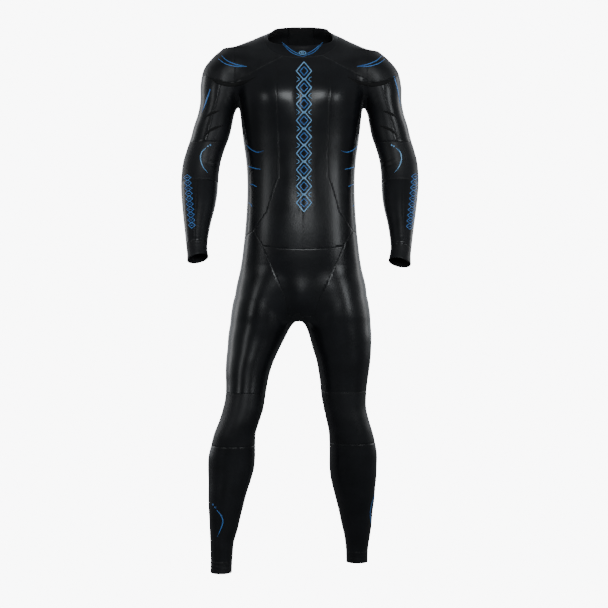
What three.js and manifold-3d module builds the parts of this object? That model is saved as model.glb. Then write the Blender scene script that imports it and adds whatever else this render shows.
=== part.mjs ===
// A full swimming wetsuit standing in the shape of its wearer, panel by panel.
// Millimetres. +X is the wearer's left, -Y the front, +Z up; the origin is at the crotch.
import * as THREE from 'three';
import { mergeVertices } from 'three/addons/utils/BufferGeometryUtils.js';
import Module from 'manifold-3d';

// ---------- driving dimensions ----------
const SKIN = 3.5; // thickness of the foam rubber panels
const SEAM = 0.7; // clear gap left along every seam line
const CELL = [16, 16, 24]; // spacing of the points that first carry the surface
const FACETS = 3500; // triangles kept on the outer surface, more where it bends more
const LONGEST = 62; // and no edge longer than this
const SNAP = 9; // a point this close to a seam is pulled onto it
const BORDER_SNAP = 1.2; // a point already on another seam is only taken as it stands, and only this near
const APART = 7; // two points pulled onto a seam stay at least this far apart

const FRONT_CENTRE = 6; // the wearer is turned slightly, so the front centre line sits left
const NECK_Z = 775; // height of the neck opening at the back
const NECK_SLOPE = 0.417; // its fall towards the front
const NECK_AT = [0, 4]; // centre of the opening, x and y
const NECK_HALF = [76, 64]; // half width and half depth of the opening
const COLLAR_WIDTH = 27; // width of the collar band
const ARMHOLE_X = 174; // armhole plane, from the centre
const ARMS_ABOVE = 114; // arms hang no lower than this
const CUFF = { z: 167, slopeY: 0.5, slopeX: 0.3, width: 34 };
const ANKLE_Z = -661; // lower edge of the ankle cuffs
const ANKLE_WIDTH = 32;
const ELBOW = { x: 258, y: 4, z: 417, half: 55 };
const KNEE = { z: -257, half: 70 };
const ARM_LEAN = 10; // the right arm hangs this much further out at the wrist

const ZIP = { r: 737, y: -619, z: 517, slot: 7, flat: 16, zBottom: 300, top: 18.4 };
const TAPE = { from: 1.6, to: 15, depth: 4.5, thickness: 0.9 };
const TEETH = { pitch: 22, root: 3.1, tip: 0.35, gap: 0.9, depth: 0.9, thickness: 2.5 };
const SLIDER = { angle: 17.2, length: 15, width: 11, plate: 1.6, lift: 0.5 };
const PULL = { length: 46, width: 9, thickness: 1.1, stands: 2 };

// ---------- body stations: z, centre x, centre y, half width, half depth ----------
const TRUNK = [
  [12, 0, 13, 70, 71], [40, 0, 15, 128, 91], [75, 0, 16, 160, 100], [120, 0, 14, 163, 102],
  [170, 0, 6, 156, 98], [230, 0, -1.5, 149, 91.5], [293, 0, -4.5, 144, 86.5], [356, 0, -2.5, 142, 86.5],
  [420, 0, 0.5, 144, 93.5], [484, 0, 1.5, 151, 102.5], [545, 0, 1, 159, 111], [600, 0, 2, 169, 110],
  [645, 0, 6, 178, 100], [680, 0, 13, 188, 85], [706, 0, 20, 177, 72], [724, 0, 23, 154, 63],
  [742, 0, 26, 124, 56], [757, 0, 28, 92, 48], [768, 0, 26, 56, 34],
];
const NECK = [
  [640, 0, 18, 66, 60], [700, 0, 14, 72, 60], [740, 0, 10, 77, 61], [775, 0, 6, 76, 62], [820, 0, 2, 76, 64],
];
const ARM = [
  [712, 176, 14, 30, 34], [690, 186, 13, 46, 50], [660, 198, 12, 58, 62], [620, 207, 12, 59, 66],
  [580, 215, 11, 52, 63], [547, 225, 11, 48, 60], [515, 233, 10, 50, 57], [484, 240, 8, 50.5, 55],
  [452, 250, 4, 50, 52], [420, 258, -2, 50, 50], [388, 261, -11, 49.5, 50], [356, 261, -25, 49, 51],
  [325, 260, -40, 46.5, 50], [293, 260, -56, 42, 46], [261, 261, -72, 36, 41], [229, 261, -88, 31, 36],
  [197, 260, -104, 27.5, 32], [175, 257, -115, 27.5, 31.5], [150, 253, -128, 31, 34], [128, 250, -139, 32, 35],
];
const RIGHT_LEG = [
  [150, -74, 12, 56, 70], [110, -82, 12, 76, 88], [60, -97, 14, 81, 98], [20, -104, 14, 82, 100],
  [-9, -107, 12, 82, 97], [-41, -117, 8, 77, 92], [-73, -126, 2, 70, 88], [-105, -135, -6, 64, 83],
  [-136, -141, -14, 59, 77], [-168, -144, -23, 55, 71], [-200, -147, -32, 53, 66], [-232, -153, -40, 53.5, 62],
  [-264, -163, -44, 53.5, 61], [-295, -174, -43, 55, 61], [-327, -179, -38, 58.5, 63], [-359, -183, -35, 62, 64],
  [-391, -185, -36, 61, 62], [-423, -189, -40, 56, 58], [-454, -194, -45, 51, 53], [-486, -198, -49, 46.5, 48],
  [-518, -201, -53, 41.5, 43], [-550, -204, -56, 37, 39], [-582, -208, -59, 31.5, 35], [-613, -209, -61, 29.5, 33.5],
  [-645, -210, -63, 28.5, 33], [-720, -212, -66, 29, 34],
];
const LEFT_LEG = [
  [150, 74, 12, 56, 70], [110, 82, 12, 78, 88], [60, 92, 14, 85, 98], [20, 97, 15, 87, 100],
  [-9, 99, 15, 87, 97], [-41, 105, 14, 83, 92], [-73, 109, 14, 78.5, 88], [-105, 113, 13, 72.5, 83],
  [-136, 114, 12, 67.5, 77], [-168, 114, 10, 63, 71], [-200, 114, 8, 60, 66], [-232, 117, 8, 57, 62],
  [-264, 124, 10, 57, 61], [-295, 132, 15, 58.5, 61], [-327, 137, 24, 61.5, 63], [-359, 140, 31, 64, 64],
  [-391, 140, 36, 64, 62], [-423, 141, 40, 62, 58], [-454, 143, 45, 57, 53], [-486, 146, 51, 52, 48],
  [-518, 148, 57, 46, 43], [-550, 150, 63, 41.5, 39], [-582, 152, 70, 36, 35], [-613, 152, 76, 31.5, 33.5],
  [-645, 152, 82, 29.5, 33], [-720, 153, 94, 30, 34],
];

// soft swellings and hollows: centre, spread, height; a swelling off the centre line is mirrored
const FORMS = [
  { at: [78, -104, 592], spread: [56, 45, 42], height: 9 }, // chest
  { at: [0, -110, 590], spread: [15, 40, 75], height: -5 }, // breastbone
  { at: [140, 40, 500], spread: [40, 60, 80], height: 5 }, // side of the back
  { at: [72, 108, 605], spread: [44, 40, 56], height: 9 }, // shoulder blade
  { at: [80, 104, 62], spread: [58, 55, 66], height: 15 }, // seat
  { at: [0, 110, 60], spread: [14, 60, 80], height: -12 }, // seat cleft
  { at: [30, -92, 380], spread: [26, 30, 90], height: 3 }, // belly
  { at: [0, -92, 400], spread: [7, 30, 120], height: -2.5 }, // belly line
  { at: [0, -84, 62], spread: [30, 30, 46], height: 7 }, // front of the crotch
];

// ---------- small helpers ----------
const clamp = THREE.MathUtils.clamp;
const smoothstep = THREE.MathUtils.smoothstep;
const radians = THREE.MathUtils.degToRad;

// smooth curve through one column of a station list
function makeCurve(stations, column) {
  const rows = stations.map((row) => [row[0], row[column]]).sort((a, b) => a[0] - b[0]);
  const last = rows.length - 1;
  const slopes = rows.map((row, i) => {
    const before = rows[Math.max(i - 1, 0)];
    const after = rows[Math.min(i + 1, last)];
    return (after[1] - before[1]) / (after[0] - before[0]);
  });
  return (zWanted) => {
    const z = clamp(zWanted, rows[0][0], rows[last][0]);
    let i = 0;
    while (i < last - 1 && z >= rows[i + 1][0]) i += 1;
    const h = rows[i + 1][0] - rows[i][0];
    const u = (z - rows[i][0]) / h;
    const u2 = u * u;
    const u3 = u2 * u;
    const fromStart = (2 * u3 - 3 * u2 + 1) * rows[i][1] + (u3 - 2 * u2 + u) * h * slopes[i];
    return fromStart + (3 * u2 - 2 * u3) * rows[i + 1][1] + (u3 - u2) * h * slopes[i + 1];
  };
}

// straight-line profile through [input, value] pairs
function profile(points) {
  return (at) => {
    if (at <= points[0][0]) return points[0][1];
    for (let i = 1; i < points.length; i += 1) {
      const [a, va] = points[i - 1];
      const [b, vb] = points[i];
      if (at <= b) return va + ((vb - va) * (at - a)) / (b - a);
    }
    return points[points.length - 1][1];
  };
}

function smoothMin(a, b, k) {
  const h = clamp(0.5 + (0.5 * (b - a)) / k, 0, 1);
  return b * (1 - h) + a * h - k * h * (1 - h);
}

// ---------- the body surface: negative inside, positive outside ----------
function makeTube(stations, power) {
  const heights = stations.map((row) => row[0]);
  const top = Math.max(...heights);
  const bottom = Math.min(...heights);
  const [cx, cy, halfX, halfY] = [1, 2, 3, 4].map((column) => makeCurve(stations, column));
  const distance = (x, y, z, shiftX, side) => {
    const a = halfX(z);
    const b = halfY(z);
    const u = Math.max(Math.abs(x - side * (cx(z) + shiftX)) / a, 1e-4);
    const v = Math.max(Math.abs(y - cy(z)) / b, 1e-4);
    const k = (u ** power + v ** power) ** (1 / power);
    const slope = k ** (1 - power) * Math.hypot(u ** (power - 1) / a, v ** (power - 1) / b);
    const f = (k - 1) / slope;
    const over = Math.max(z - top, bottom - z, 0);
    if (over === 0) return f;
    return f > 0 ? Math.hypot(f, over) : over;
  };
  return { distance, cx, cy };
}

const trunk = makeTube(TRUNK, 2.25);
const neck = makeTube(NECK, 2);
const arm = makeTube(ARM, 2);
const rightLeg = makeTube(RIGHT_LEG, 2);
const leftLeg = makeTube(LEFT_LEG, 2);

const armLean = (z) => ARM_LEAN * smoothstep(600 - z, 0, 420);

function formsAt(x, y, z) {
  let sum = 0;
  for (const { at, spread, height } of FORMS) {
    const sides = at[0] === 0 ? [1] : [1, -1];
    for (const side of sides) {
      const dx = (x - side * at[0]) / spread[0];
      const dy = (y - at[1]) / spread[1];
      const dz = (z - at[2]) / spread[2];
      sum += height * Math.exp(-(dx * dx + dy * dy + dz * dz));
    }
  }
  return sum;
}

function body(x, y, z) {
  let f = smoothMin(trunk.distance(x, y, z, 0, 1), neck.distance(x, y, z, 0, 1), 30);
  const arms = x > 0 ? arm.distance(x, y, z, 0, 1) : arm.distance(x, y, z, armLean(z), -1);
  f = smoothMin(f, arms, 5 + 37 * clamp((z - 575) / 75, 0, 1));
  const legs = smoothMin(rightLeg.distance(x, y, z, 0, 1), leftLeg.distance(x, y, z, 0, 1), 14);
  f = smoothMin(f, legs, 26) - formsAt(x, y, z);
  // along the spine the back is rolled to one true radius, so that the zip can run on it
  const nearSpine = (1 - smoothstep(Math.abs(x), ZIP.flat, 60)) * smoothstep(y, 0, 40);
  const w = nearSpine * smoothstep(z, 250, 310);
  const arc = Math.hypot(y - ZIP.y, z - ZIP.z) - ZIP.r;
  return f * (1 - w) + arc * w;
}

function slopeOf(f, p, step) {
  const [x, y, z] = p;
  return [
    (f(x + step, y, z) - f(x - step, y, z)) / (2 * step),
    (f(x, y + step, z) - f(x, y - step, z)) / (2 * step),
    (f(x, y, z + step) - f(x, y, z - step)) / (2 * step),
  ];
}

function normalAt(p) {
  const g = slopeOf(body, p, 6);
  const length = Math.hypot(...g);
  return g.map((value) => value / length);
}

function ontoBody(p, rounds) {
  let q = p;
  for (let i = 0; i < rounds; i += 1) {
    const g = slopeOf(body, q, 0.5);
    const size = Math.max(g[0] ** 2 + g[1] ** 2 + g[2] ** 2, 0.05);
    const d = -body(...q) / size;
    const reach = Math.min(1, 8 / Math.max(Math.abs(d) * Math.sqrt(size), 1e-9));
    q = q.map((value, axis) => value + d * g[axis] * reach);
  }
  return q;
}

// ---------- a closed triangle skin over the whole body ----------
function skinBody() {
  const low = [-342, -199, -748];
  const high = [342, 165, 820];
  const counts = low.map((value, axis) => Math.ceil((high[axis] - value) / CELL[axis]) + 1);
  const at = (i, axis) => low[axis] + i * CELL[axis];
  const key = (i, j, k) => (i * counts[1] + j) * counts[2] + k;
  const values = new Float64Array(counts[0] * counts[1] * counts[2]);
  for (let i = 0; i < counts[0]; i += 1) {
    for (let j = 0; j < counts[1]; j += 1) {
      for (let k = 0; k < counts[2]; k += 1) values[key(i, j, k)] = body(at(i, 0), at(j, 1), at(k, 2));
    }
  }
  const points = [];
  const pointOf = new Map();
  for (let i = 0; i < counts[0] - 1; i += 1) {
    for (let j = 0; j < counts[1] - 1; j += 1) {
      for (let k = 0; k < counts[2] - 1; k += 1) {
        const sum = [0, 0, 0];
        let crossings = 0;
        for (let edge = 0; edge < 12; edge += 1) {
          const axis = edge >> 2;
          const start = [i, j, k];
          start[(axis + 1) % 3] += edge & 1;
          start[(axis + 2) % 3] += (edge >> 1) & 1;
          const end = [...start];
          end[axis] += 1;
          const a = values[key(...start)];
          const b = values[key(...end)];
          if (a < 0 === b < 0) continue;
          const t = a / (a - b);
          for (let d = 0; d < 3; d += 1) sum[d] += at(start[d] + (d === axis ? t : 0), d);
          crossings += 1;
        }
        if (crossings === 0) continue;
        pointOf.set(key(i, j, k), points.length);
        points.push(ontoBody(sum.map((value) => value / crossings), 5));
      }
    }
  }
  const triangles = [];
  const far = (a, b) => Math.hypot(...points[a].map((value, d) => value - points[b][d]));
  const addQuad = (a, b, c, d) => {
    if (far(a, c) < far(b, d)) triangles.push([a, b, c], [a, c, d]);
    else triangles.push([b, c, d], [b, d, a]);
  };
  for (let axis = 0; axis < 3; axis += 1) {
    const u = (axis + 1) % 3;
    const v = (axis + 2) % 3;
    for (let i = 0; i < counts[axis] - 1; i += 1) {
      for (let j = 1; j < counts[u] - 1; j += 1) {
        for (let k = 1; k < counts[v] - 1; k += 1) {
          const start = [];
          start[axis] = i;
          start[u] = j;
          start[v] = k;
          const end = [...start];
          end[axis] += 1;
          const inside = values[key(...start)] < 0;
          if (inside === values[key(...end)] < 0) continue;
          const corner = (du, dv) => {
            const cell = [...start];
            cell[u] -= du;
            cell[v] -= dv;
            return pointOf.get(key(...cell));
          };
          const ring = [corner(1, 1), corner(0, 1), corner(0, 0), corner(1, 0)];
          if (!inside) ring.reverse();
          addQuad(...ring);
        }
      }
    }
  }
  return { points, triangles };
}

const cross = (a, b) => [a[1] * b[2] - a[2] * b[1], a[2] * b[0] - a[0] * b[2], a[0] * b[1] - a[1] * b[0]];
const dot = (a, b) => a[0] * b[0] + a[1] * b[1] + a[2] * b[2];
const minus = (a, b) => a.map((value, axis) => value - b[axis]);
const plus = (a, b, scale) => a.map((value, axis) => value + scale * b[axis]);

function unit(a) {
  const length = Math.hypot(...a) || 1;
  return a.map((value) => value / length);
}

const faceNormal = (a, b, c) => unit(cross(minus(b, a), minus(c, a)));

// merges the points that matter least, a batch at a time, until few enough triangles are left
function simplify(at, triangles) {
  let left = triangles;
  while (left.length > FACETS) {
    const planes = new Map();
    const around = new Map();
    left.forEach((tri, t) => {
      const n = faceNormal(...tri.map((index) => at[index]));
      const plane = [...n, -dot(n, at[tri[0]])];
      for (const index of tri) {
        if (!around.has(index)) {
          around.set(index, []);
          planes.set(index, []);
        }
        around.get(index).push(t);
        planes.get(index).push(plane);
      }
    });
    const offPlanes = (p, index) => planes.get(index).reduce((sum, [a, b, c, d]) => {
      const off = a * p[0] + b * p[1] + c * p[2] + d;
      return sum + off * off;
    }, 0);
    const edges = [];
    for (const [a, b, c] of left) {
      for (const [from, to] of [[a, b], [b, c], [c, a]]) {
        const length = Math.hypot(...minus(at[from], at[to]));
        if (from > to || length > LONGEST / 1.6) continue;
        const p = ontoBody(at[from].map((value, axis) => (value + at[to][axis]) / 2), 1);
        edges.push({ from, to, p, cost: offPlanes(p, from) + offPlanes(p, to) + 2e-4 * length * length });
      }
    }
    edges.sort((one, other) => one.cost - other.cost);
    const ring = (index) => new Set(around.get(index).flatMap((t) => left[t]).filter((other) => other !== index));
    const frozen = new Set();
    const mergedInto = new Map();
    let removed = 0;
    for (const { from, to, p } of edges) {
      if (frozen.has(from) || frozen.has(to)) continue;
      const ringFrom = ring(from);
      const ringTo = ring(to);
      if ([...ringFrom].filter((index) => ringTo.has(index)).length !== 2) continue;
      const spoilt = [...around.get(from), ...around.get(to)].some((t) => {
        const tri = left[t];
        if (tri.includes(from) && tri.includes(to)) return false;
        const corners = tri.map((index) => (index === from || index === to ? p : at[index]));
        if (Math.max(...corners.map((c, i) => Math.hypot(...minus(c, corners[(i + 1) % 3])))) > LONGEST) return true;
        return dot(faceNormal(...corners), faceNormal(...tri.map((index) => at[index]))) < 0.8;
      });
      if (spoilt) continue;
      at[from] = p;
      mergedInto.set(to, from);
      for (const index of [...ringFrom, ...ringTo]) frozen.add(index);
      removed += 2;
      if (removed > 0.12 * left.length || left.length - removed <= FACETS) break;
    }
    if (removed === 0) break;
    left = left.map((tri) => tri.map((index) => mergedInto.get(index) ?? index));
    left = left.filter((tri) => new Set(tri).size === 3);
  }
  return left;
}

// ---------- cutting the skin along seam lines ----------
const skin = skinBody();
const points = skin.points;
skin.triangles = simplify(points, skin.triangles);

const edgeName = (a, b) => (a < b ? `${a},${b}` : `${b},${a}`);

function edgeUses(triangles) {
  const uses = new Map();
  for (const tri of triangles) {
    for (let i = 0; i < 3; i += 1) {
      const a = tri[i];
      const b = tri[(i + 1) % 3];
      const name = edgeName(a, b);
      uses.set(name, (uses.get(name) ?? 0) + 1);
    }
  }
  return uses;
}

function borderPoints(triangles) {
  const border = new Set();
  for (const [name, uses] of edgeUses(triangles)) {
    if (uses !== 1) continue;
    for (const index of name.split(',')) border.add(Number(index));
  }
  return border;
}

// moves a point along the skin until it lies on the seam
function ontoSeam(p, seam) {
  let q = p;
  for (let i = 0; i < 3; i += 1) {
    const n = normalAt(q);
    const g = slopeOf(seam, q, 0.5);
    const across = g[0] * n[0] + g[1] * n[1] + g[2] * n[2];
    const flat = g.map((value, axis) => value - across * n[axis]);
    const size = flat[0] ** 2 + flat[1] ** 2 + flat[2] ** 2;
    if (size < 0.04) return null;
    const d = -seam(...q) / size;
    q = ontoBody(q.map((value, axis) => value + d * flat[axis]), 2);
  }
  return Math.hypot(...q.map((value, axis) => value - p[axis])) < 2.2 * SNAP ? q : null;
}

function islands(triangles) {
  const byPoint = new Map();
  triangles.forEach((tri, t) => {
    for (const index of tri) {
      if (!byPoint.has(index)) byPoint.set(index, []);
      byPoint.get(index).push(t);
    }
  });
  const seen = new Set();
  const found = [];
  for (let start = 0; start < triangles.length; start += 1) {
    if (seen.has(start)) continue;
    seen.add(start);
    const queue = [start];
    for (let head = 0; head < queue.length; head += 1) {
      for (const index of triangles[queue[head]]) {
        for (const t of byPoint.get(index)) {
          if (seen.has(t)) continue;
          seen.add(t);
          queue.push(t);
        }
      }
    }
    found.push(queue.map((t) => triangles[t]));
  }
  return found;
}

// a few stray triangles left on the wrong side of a seam go to the other side
function handOverCrumbs(below, above) {
  const sortOut = (triangles) => {
    const groups = islands(triangles);
    return [groups.filter((group) => group.length > 4).flat(), groups.filter((group) => group.length <= 4).flat()];
  };
  const [low, lowCrumbs] = sortOut(below);
  const [high, highCrumbs] = sortOut(above);
  return [low.concat(highCrumbs), high.concat(lowCrumbs)];
}

// Every edge that a seam has crossed, and the point put on it. A patch that shares the edge
// takes the same point, so neighbouring panels always meet along one and the same line.
const middles = new Map();

function conform(triangles) {
  const done = [];
  const queue = [...triangles];
  while (queue.length > 0) {
    const tri = queue.pop();
    const side = [0, 1, 2].find((i) => middles.has(edgeName(tri[i], tri[(i + 1) % 3])));
    if (side === undefined) {
      done.push(tri);
      continue;
    }
    const a = tri[side];
    const b = tri[(side + 1) % 3];
    const c = tri[(side + 2) % 3];
    const m = middles.get(edgeName(a, b));
    queue.push([a, m, c], [m, b, c]);
  }
  return done;
}

// a copy of a patch on points of its own, for a layer that lies under or over the panels
function detach(triangles) {
  const copies = new Map();
  return triangles.map((tri) => tri.map((index) => {
    if (!copies.has(index)) copies.set(index, points.push([...points[index]]) - 1);
    return copies.get(index);
  }));
}

// splits a set of triangles along seam = 0 and returns both sides
function cut(patch, seam) {
  const triangles = conform(patch);
  const border = borderPoints(triangles);
  const level = new Map();
  const neighbours = new Map();
  for (const tri of triangles) {
    for (const index of tri) {
      if (!level.has(index)) {
        level.set(index, seam(...points[index]));
        neighbours.set(index, new Set());
      }
      for (const other of tri) neighbours.get(index).add(other);
    }
  }
  const near = [...level.keys()].filter((index) => Math.abs(level.get(index)) < SNAP);
  near.sort((a, b) => Math.abs(level.get(a)) - Math.abs(level.get(b)));
  for (const index of near) {
    const isBorder = border.has(index);
    if (isBorder && Math.abs(level.get(index)) > BORDER_SNAP) continue;
    const moved = isBorder ? points[index] : ontoSeam(points[index], seam);
    if (!moved) continue;
    const onSeam = [...neighbours.get(index)].filter((other) => other !== index && level.get(other) === 0);
    if (onSeam.some((other) => Math.hypot(...moved.map((value, d) => value - points[other][d])) < APART)) continue;
    points[index] = moved;
    level.set(index, 0);
  }
  const middleOf = (a, b) => {
    const name = edgeName(a, b);
    if (middles.has(name)) return middles.get(name);
    const [from, to] = a < b ? [a, b] : [b, a];
    const fromLow = level.get(from) < 0;
    let low = 0;
    let high = 1;
    const along = (t) => points[from].map((value, axis) => value + t * (points[to][axis] - value));
    for (let i = 0; i < 14; i += 1) {
      const t = (low + high) / 2;
      if (seam(...along(t)) < 0 === fromLow) low = t;
      else high = t;
    }
    const t = clamp((low + high) / 2, 0.06, 0.94);
    points.push(ontoBody(along(t), 2));
    middles.set(name, points.length - 1);
    return points.length - 1;
  };
  const below = [];
  const above = [];
  for (const tri of triangles) {
    const values = tri.map((index) => level.get(index));
    if (values.every((value) => value === 0)) {
      const centre = [0, 1, 2].map((axis) => tri.reduce((sum, index) => sum + points[index][axis] / 3, 0));
      (seam(...centre) < 0 ? below : above).push(tri);
      continue;
    }
    if (values.every((value) => value <= 0)) {
      below.push(tri);
      continue;
    }
    if (values.every((value) => value >= 0)) {
      above.push(tri);
      continue;
    }
    const zero = values.indexOf(0);
    if (zero >= 0) {
      const a = tri[zero];
      const b = tri[(zero + 1) % 3];
      const c = tri[(zero + 2) % 3];
      const m = middleOf(b, c);
      (level.get(b) < 0 ? below : above).push([a, b, m]);
      (level.get(c) < 0 ? below : above).push([a, m, c]);
      continue;
    }
    const alone = values.findIndex((value) => values.filter((other) => other < 0 === value < 0).length === 1);
    const a = tri[alone];
    const b = tri[(alone + 1) % 3];
    const c = tri[(alone + 2) % 3];
    const ab = middleOf(a, b);
    const ac = middleOf(a, c);
    const own = level.get(a) < 0 ? below : above;
    const away = level.get(a) < 0 ? above : below;
    own.push([a, ab, ac]);
    away.push([ab, b, c], [ab, c, ac]);
  }
  return handOverCrumbs(below, above);
}

const keepBelow = (triangles, seam) => cut(triangles, seam)[0];
const score = (triangles, seam) => cut(triangles, seam).flat();

// ---------- giving a patch of skin its thickness ----------
// where two corners of a patch only touch at a point, each corner gets its own copy of it
const copyOf = new Map();
function splitPinches(triangles) {
  const result = triangles.map((tri) => [...tri]);
  const around = new Map();
  result.forEach((tri, t) => {
    for (const index of tri) {
      if (!around.has(index)) around.set(index, []);
      around.get(index).push(t);
    }
  });
  for (const [index, list] of around) {
    let left = [...list];
    let first = true;
    while (left.length > 0) {
      const fan = [left.shift()];
      const rim = new Set(result[fan[0]].filter((other) => other !== index));
      for (let grown = true; grown; ) {
        grown = false;
        for (const t of left) {
          const others = result[t].filter((other) => other !== index);
          if (!others.some((other) => rim.has(other))) continue;
          for (const other of others) rim.add(other);
          fan.push(t);
          grown = true;
        }
        left = left.filter((t) => !fan.includes(t));
      }
      if (!first) {
        points.push([...points[index]]);
        copyOf.set(points.length - 1, index);
        for (const t of fan) result[t] = result[t].map((other) => (other === index ? points.length - 1 : other));
      }
      first = false;
    }
  }
  return result;
}

// the outer and inner faces lie at these distances from the skin, outwards positive
function thicken(patch, outer, inner, inset) {
  const triangles = splitPinches(patch);
  const directed = new Set();
  for (const [a, b, c] of triangles) {
    directed.add(`${a},${b}`).add(`${b},${c}`).add(`${c},${a}`);
  }
  const next = new Map();
  const previous = new Map();
  for (const name of directed) {
    const [a, b] = name.split(',').map(Number);
    if (directed.has(`${b},${a}`)) continue;
    next.set(a, b);
    previous.set(b, a);
  }
  const used = [...new Set(triangles.flat())];
  const place = new Map(used.map((index, i) => [index, i]));
  const positions = new Float32Array(used.length * 6);
  used.forEach((index, i) => {
    const n = normalAt(points[index]);
    let p = points[index];
    if (next.has(index)) {
      const into = unit(minus(p, points[previous.get(index)]));
      const out = unit(minus(points[next.get(index)], p));
      const side = unit(cross(n, unit(plus(into, out, 1))));
      const square = unit(cross(n, into));
      const mitre = Math.max(square[0] * side[0] + square[1] * side[1] + square[2] * side[2], 0.5);
      p = plus(p, side, inset / mitre);
    }
    positions.set(plus(p, n, outer), i * 3);
    positions.set(plus(p, n, inner), (used.length + i) * 3);
  });
  const faces = [];
  for (const tri of triangles) {
    const [a, b, c] = tri.map((index) => place.get(index));
    faces.push(a, b, c, a + used.length, c + used.length, b + used.length);
  }
  for (const [from, to] of next) {
    const a = place.get(from);
    const b = place.get(to);
    const [innerA, innerB] = [a + used.length, b + used.length];
    // both panels at a seam split its wall along the same diagonal
    if ((copyOf.get(from) ?? from) < (copyOf.get(to) ?? to)) faces.push(b, a, innerA, b, innerA, innerB);
    else faces.push(a, innerA, innerB, a, innerB, b);
  }
  const geometry = new THREE.BufferGeometry();
  geometry.setAttribute('position', new THREE.BufferAttribute(positions, 3));
  geometry.setIndex(faces);
  geometry.computeVertexNormals();
  return geometry;
}

// ---------- materials ----------
const smoothRubber = new THREE.MeshStandardMaterial({ color: 0x0b0c0f, roughness: 0.32, metalness: 0 });
const mattRubber = new THREE.MeshStandardMaterial({ color: 0x0e0f12, roughness: 0.5, metalness: 0 });
const knitRubber = new THREE.MeshStandardMaterial({ color: 0x111216, roughness: 0.75, metalness: 0 });
const webbing = new THREE.MeshStandardMaterial({ color: 0x131316, roughness: 0.85, metalness: 0 });
const nylon = new THREE.MeshStandardMaterial({ color: 0x1b1b1e, roughness: 0.45, metalness: 0 });
const metal = new THREE.MeshStandardMaterial({ color: 0x8b8e93, roughness: 0.3, metalness: 1 });

const wetsuit = new THREE.Group();
function add(name, geometry, material) {
  const mesh = new THREE.Mesh(geometry, material);
  mesh.name = name;
  wetsuit.add(mesh);
}
const panels = [];
const addPanel = (name, patch, material) => panels.push([name, patch, material]);

// ---------- seam lines ----------
const neckOpening = (x, y, z) => z - (NECK_Z - NECK_SLOPE * (70 - y));

function collarEdge(x, y, z) {
  const u = (x - NECK_AT[0]) / NECK_HALF[0];
  const v = (y - NECK_AT[1]) / NECK_HALF[1];
  const outward = (Math.hypot(u, v) - 1) * 70;
  return COLLAR_WIDTH - Math.hypot(Math.max(outward, 0), neckOpening(x, y, z));
}

const armSplit = (side) => (x, y, z) => Math.min(side * x - ARMHOLE_X, z - ARMS_ABOVE);

const frontWaist = profile([[0, 190], [60, 192], [105, 199], [131, 238], [150, 226]]);
const backWaist = profile([[0, 214], [90, 222], [150, 226]]);
function waistSeam(x, y, z) {
  const front = frontWaist(Math.abs(x - FRONT_CENTRE));
  const back = backWaist(Math.abs(x));
  return z - THREE.MathUtils.lerp(front, back, smoothstep(y, -40, 40));
}

function yokeSeam(x, y, z) {
  const front = 690 - 0.55 * (Math.abs(x - FRONT_CENTRE) - 62);
  const back = 660 - 0.3 * (Math.abs(x) - 62);
  return z - THREE.MathUtils.lerp(front, back, smoothstep(y, -10, 30));
}

const centrePanelHalf = profile([[222, 150], [238, 131], [260, 116], [290, 94], [351, 76], [378, 65], [452, 65],
  [553, 68], [720, 69]]);
const centreSeam = (x, y, z) => Math.abs(x - FRONT_CENTRE) - centrePanelHalf(z);

const flankFront = (x, y) => y + 35;
const flankBack = (x, y) => y - 47;
const gussetTop = (x, y, z) => z - 492;
const lumbarTop = (x, y, z) => z - ZIP.zBottom;

const pelvisHalf = profile([[15, 34], [31, 37], [65, 46], [199, 108]]);
const pelvisSeam = (x, y, z) => Math.abs(x - FRONT_CENTRE * smoothstep(z, 0, 100)) - pelvisHalf(z);

const crotchSeam = (x, y, z) => Math.max((Math.hypot((x + 8) / 34, (y - 4) / 74) - 1) * 34, z - 60);
const legSplit = (x, y, z) => x + 8 * (1 - clamp(z / 200, 0, 1));
const seatFold = (x, y, z) => z - (12 + 0.12 * (Math.abs(x) - 80));

// the seam down the inside of a thigh swings forward, then back to the knee
const inseamSwing = profile([[-330, 0.1], [-208, 0.42], [-123, 0.32], [-60, 0.1], [0, 0], [226, 0]]);
function legSeam(leg, side) {
  return (x, y, z) => {
    const middle = z > 0 ? THREE.MathUtils.lerp(leg.cy(z), 6, clamp(z / 226, 0, 1)) : leg.cy(z);
    const tilt = inseamSwing(z);
    return (y - middle - tilt * side * (x - leg.cx(Math.min(z, 60)))) / Math.hypot(1, tilt);
  };
}
const above = (height) => (x, y, z) => z - height;

const armX = (x, z) => Math.abs(x) - (arm.cx(z) + (x < 0 ? armLean(z) : 0));
const armTilted = (height, slopeY, slopeX) => (x, y, z) =>
  (z - height + slopeY * (y - arm.cy(height)) + slopeX * armX(x, height)) / Math.hypot(1, slopeY);
const sleeveSeam = (x, y, z) => armX(x, z) - 4;
const capSeam = (x, y, z) => {
  const edge = profile([[174, 628], [193, 624], [222, 634], [252, 645], [275, 650]]);
  return z - edge(Math.abs(x));
};

// ---------- the suit, opened at the neck, wrists and ankles ----------
let rest = keepBelow(skin.triangles, neckOpening);
const sides = [['left', 1], ['right', -1]];
const sleeves = {};
for (const [name, side] of sides) [rest, sleeves[name]] = cut(rest, armSplit(side));
const [lower, upper] = cut(rest, waistSeam);

const clip = (triangles, ...seams) => seams.reduce(keepBelow, triangles);
const behind = (x, y) => 8 - y;
const spinePatch = clip(detach(upper), behind, (x) => x - 34, (x) => -x - 34, (x, y, z) => 306 - z, (x, y, z) => z - 760);
const tabPatch = clip(detach(upper), behind, (x) => x - 36, (x) => -x - 26,
  (x, y, z) => neckOpening(x, y, z) + 2, (x, y, z) => -27 - neckOpening(x, y, z));

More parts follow.
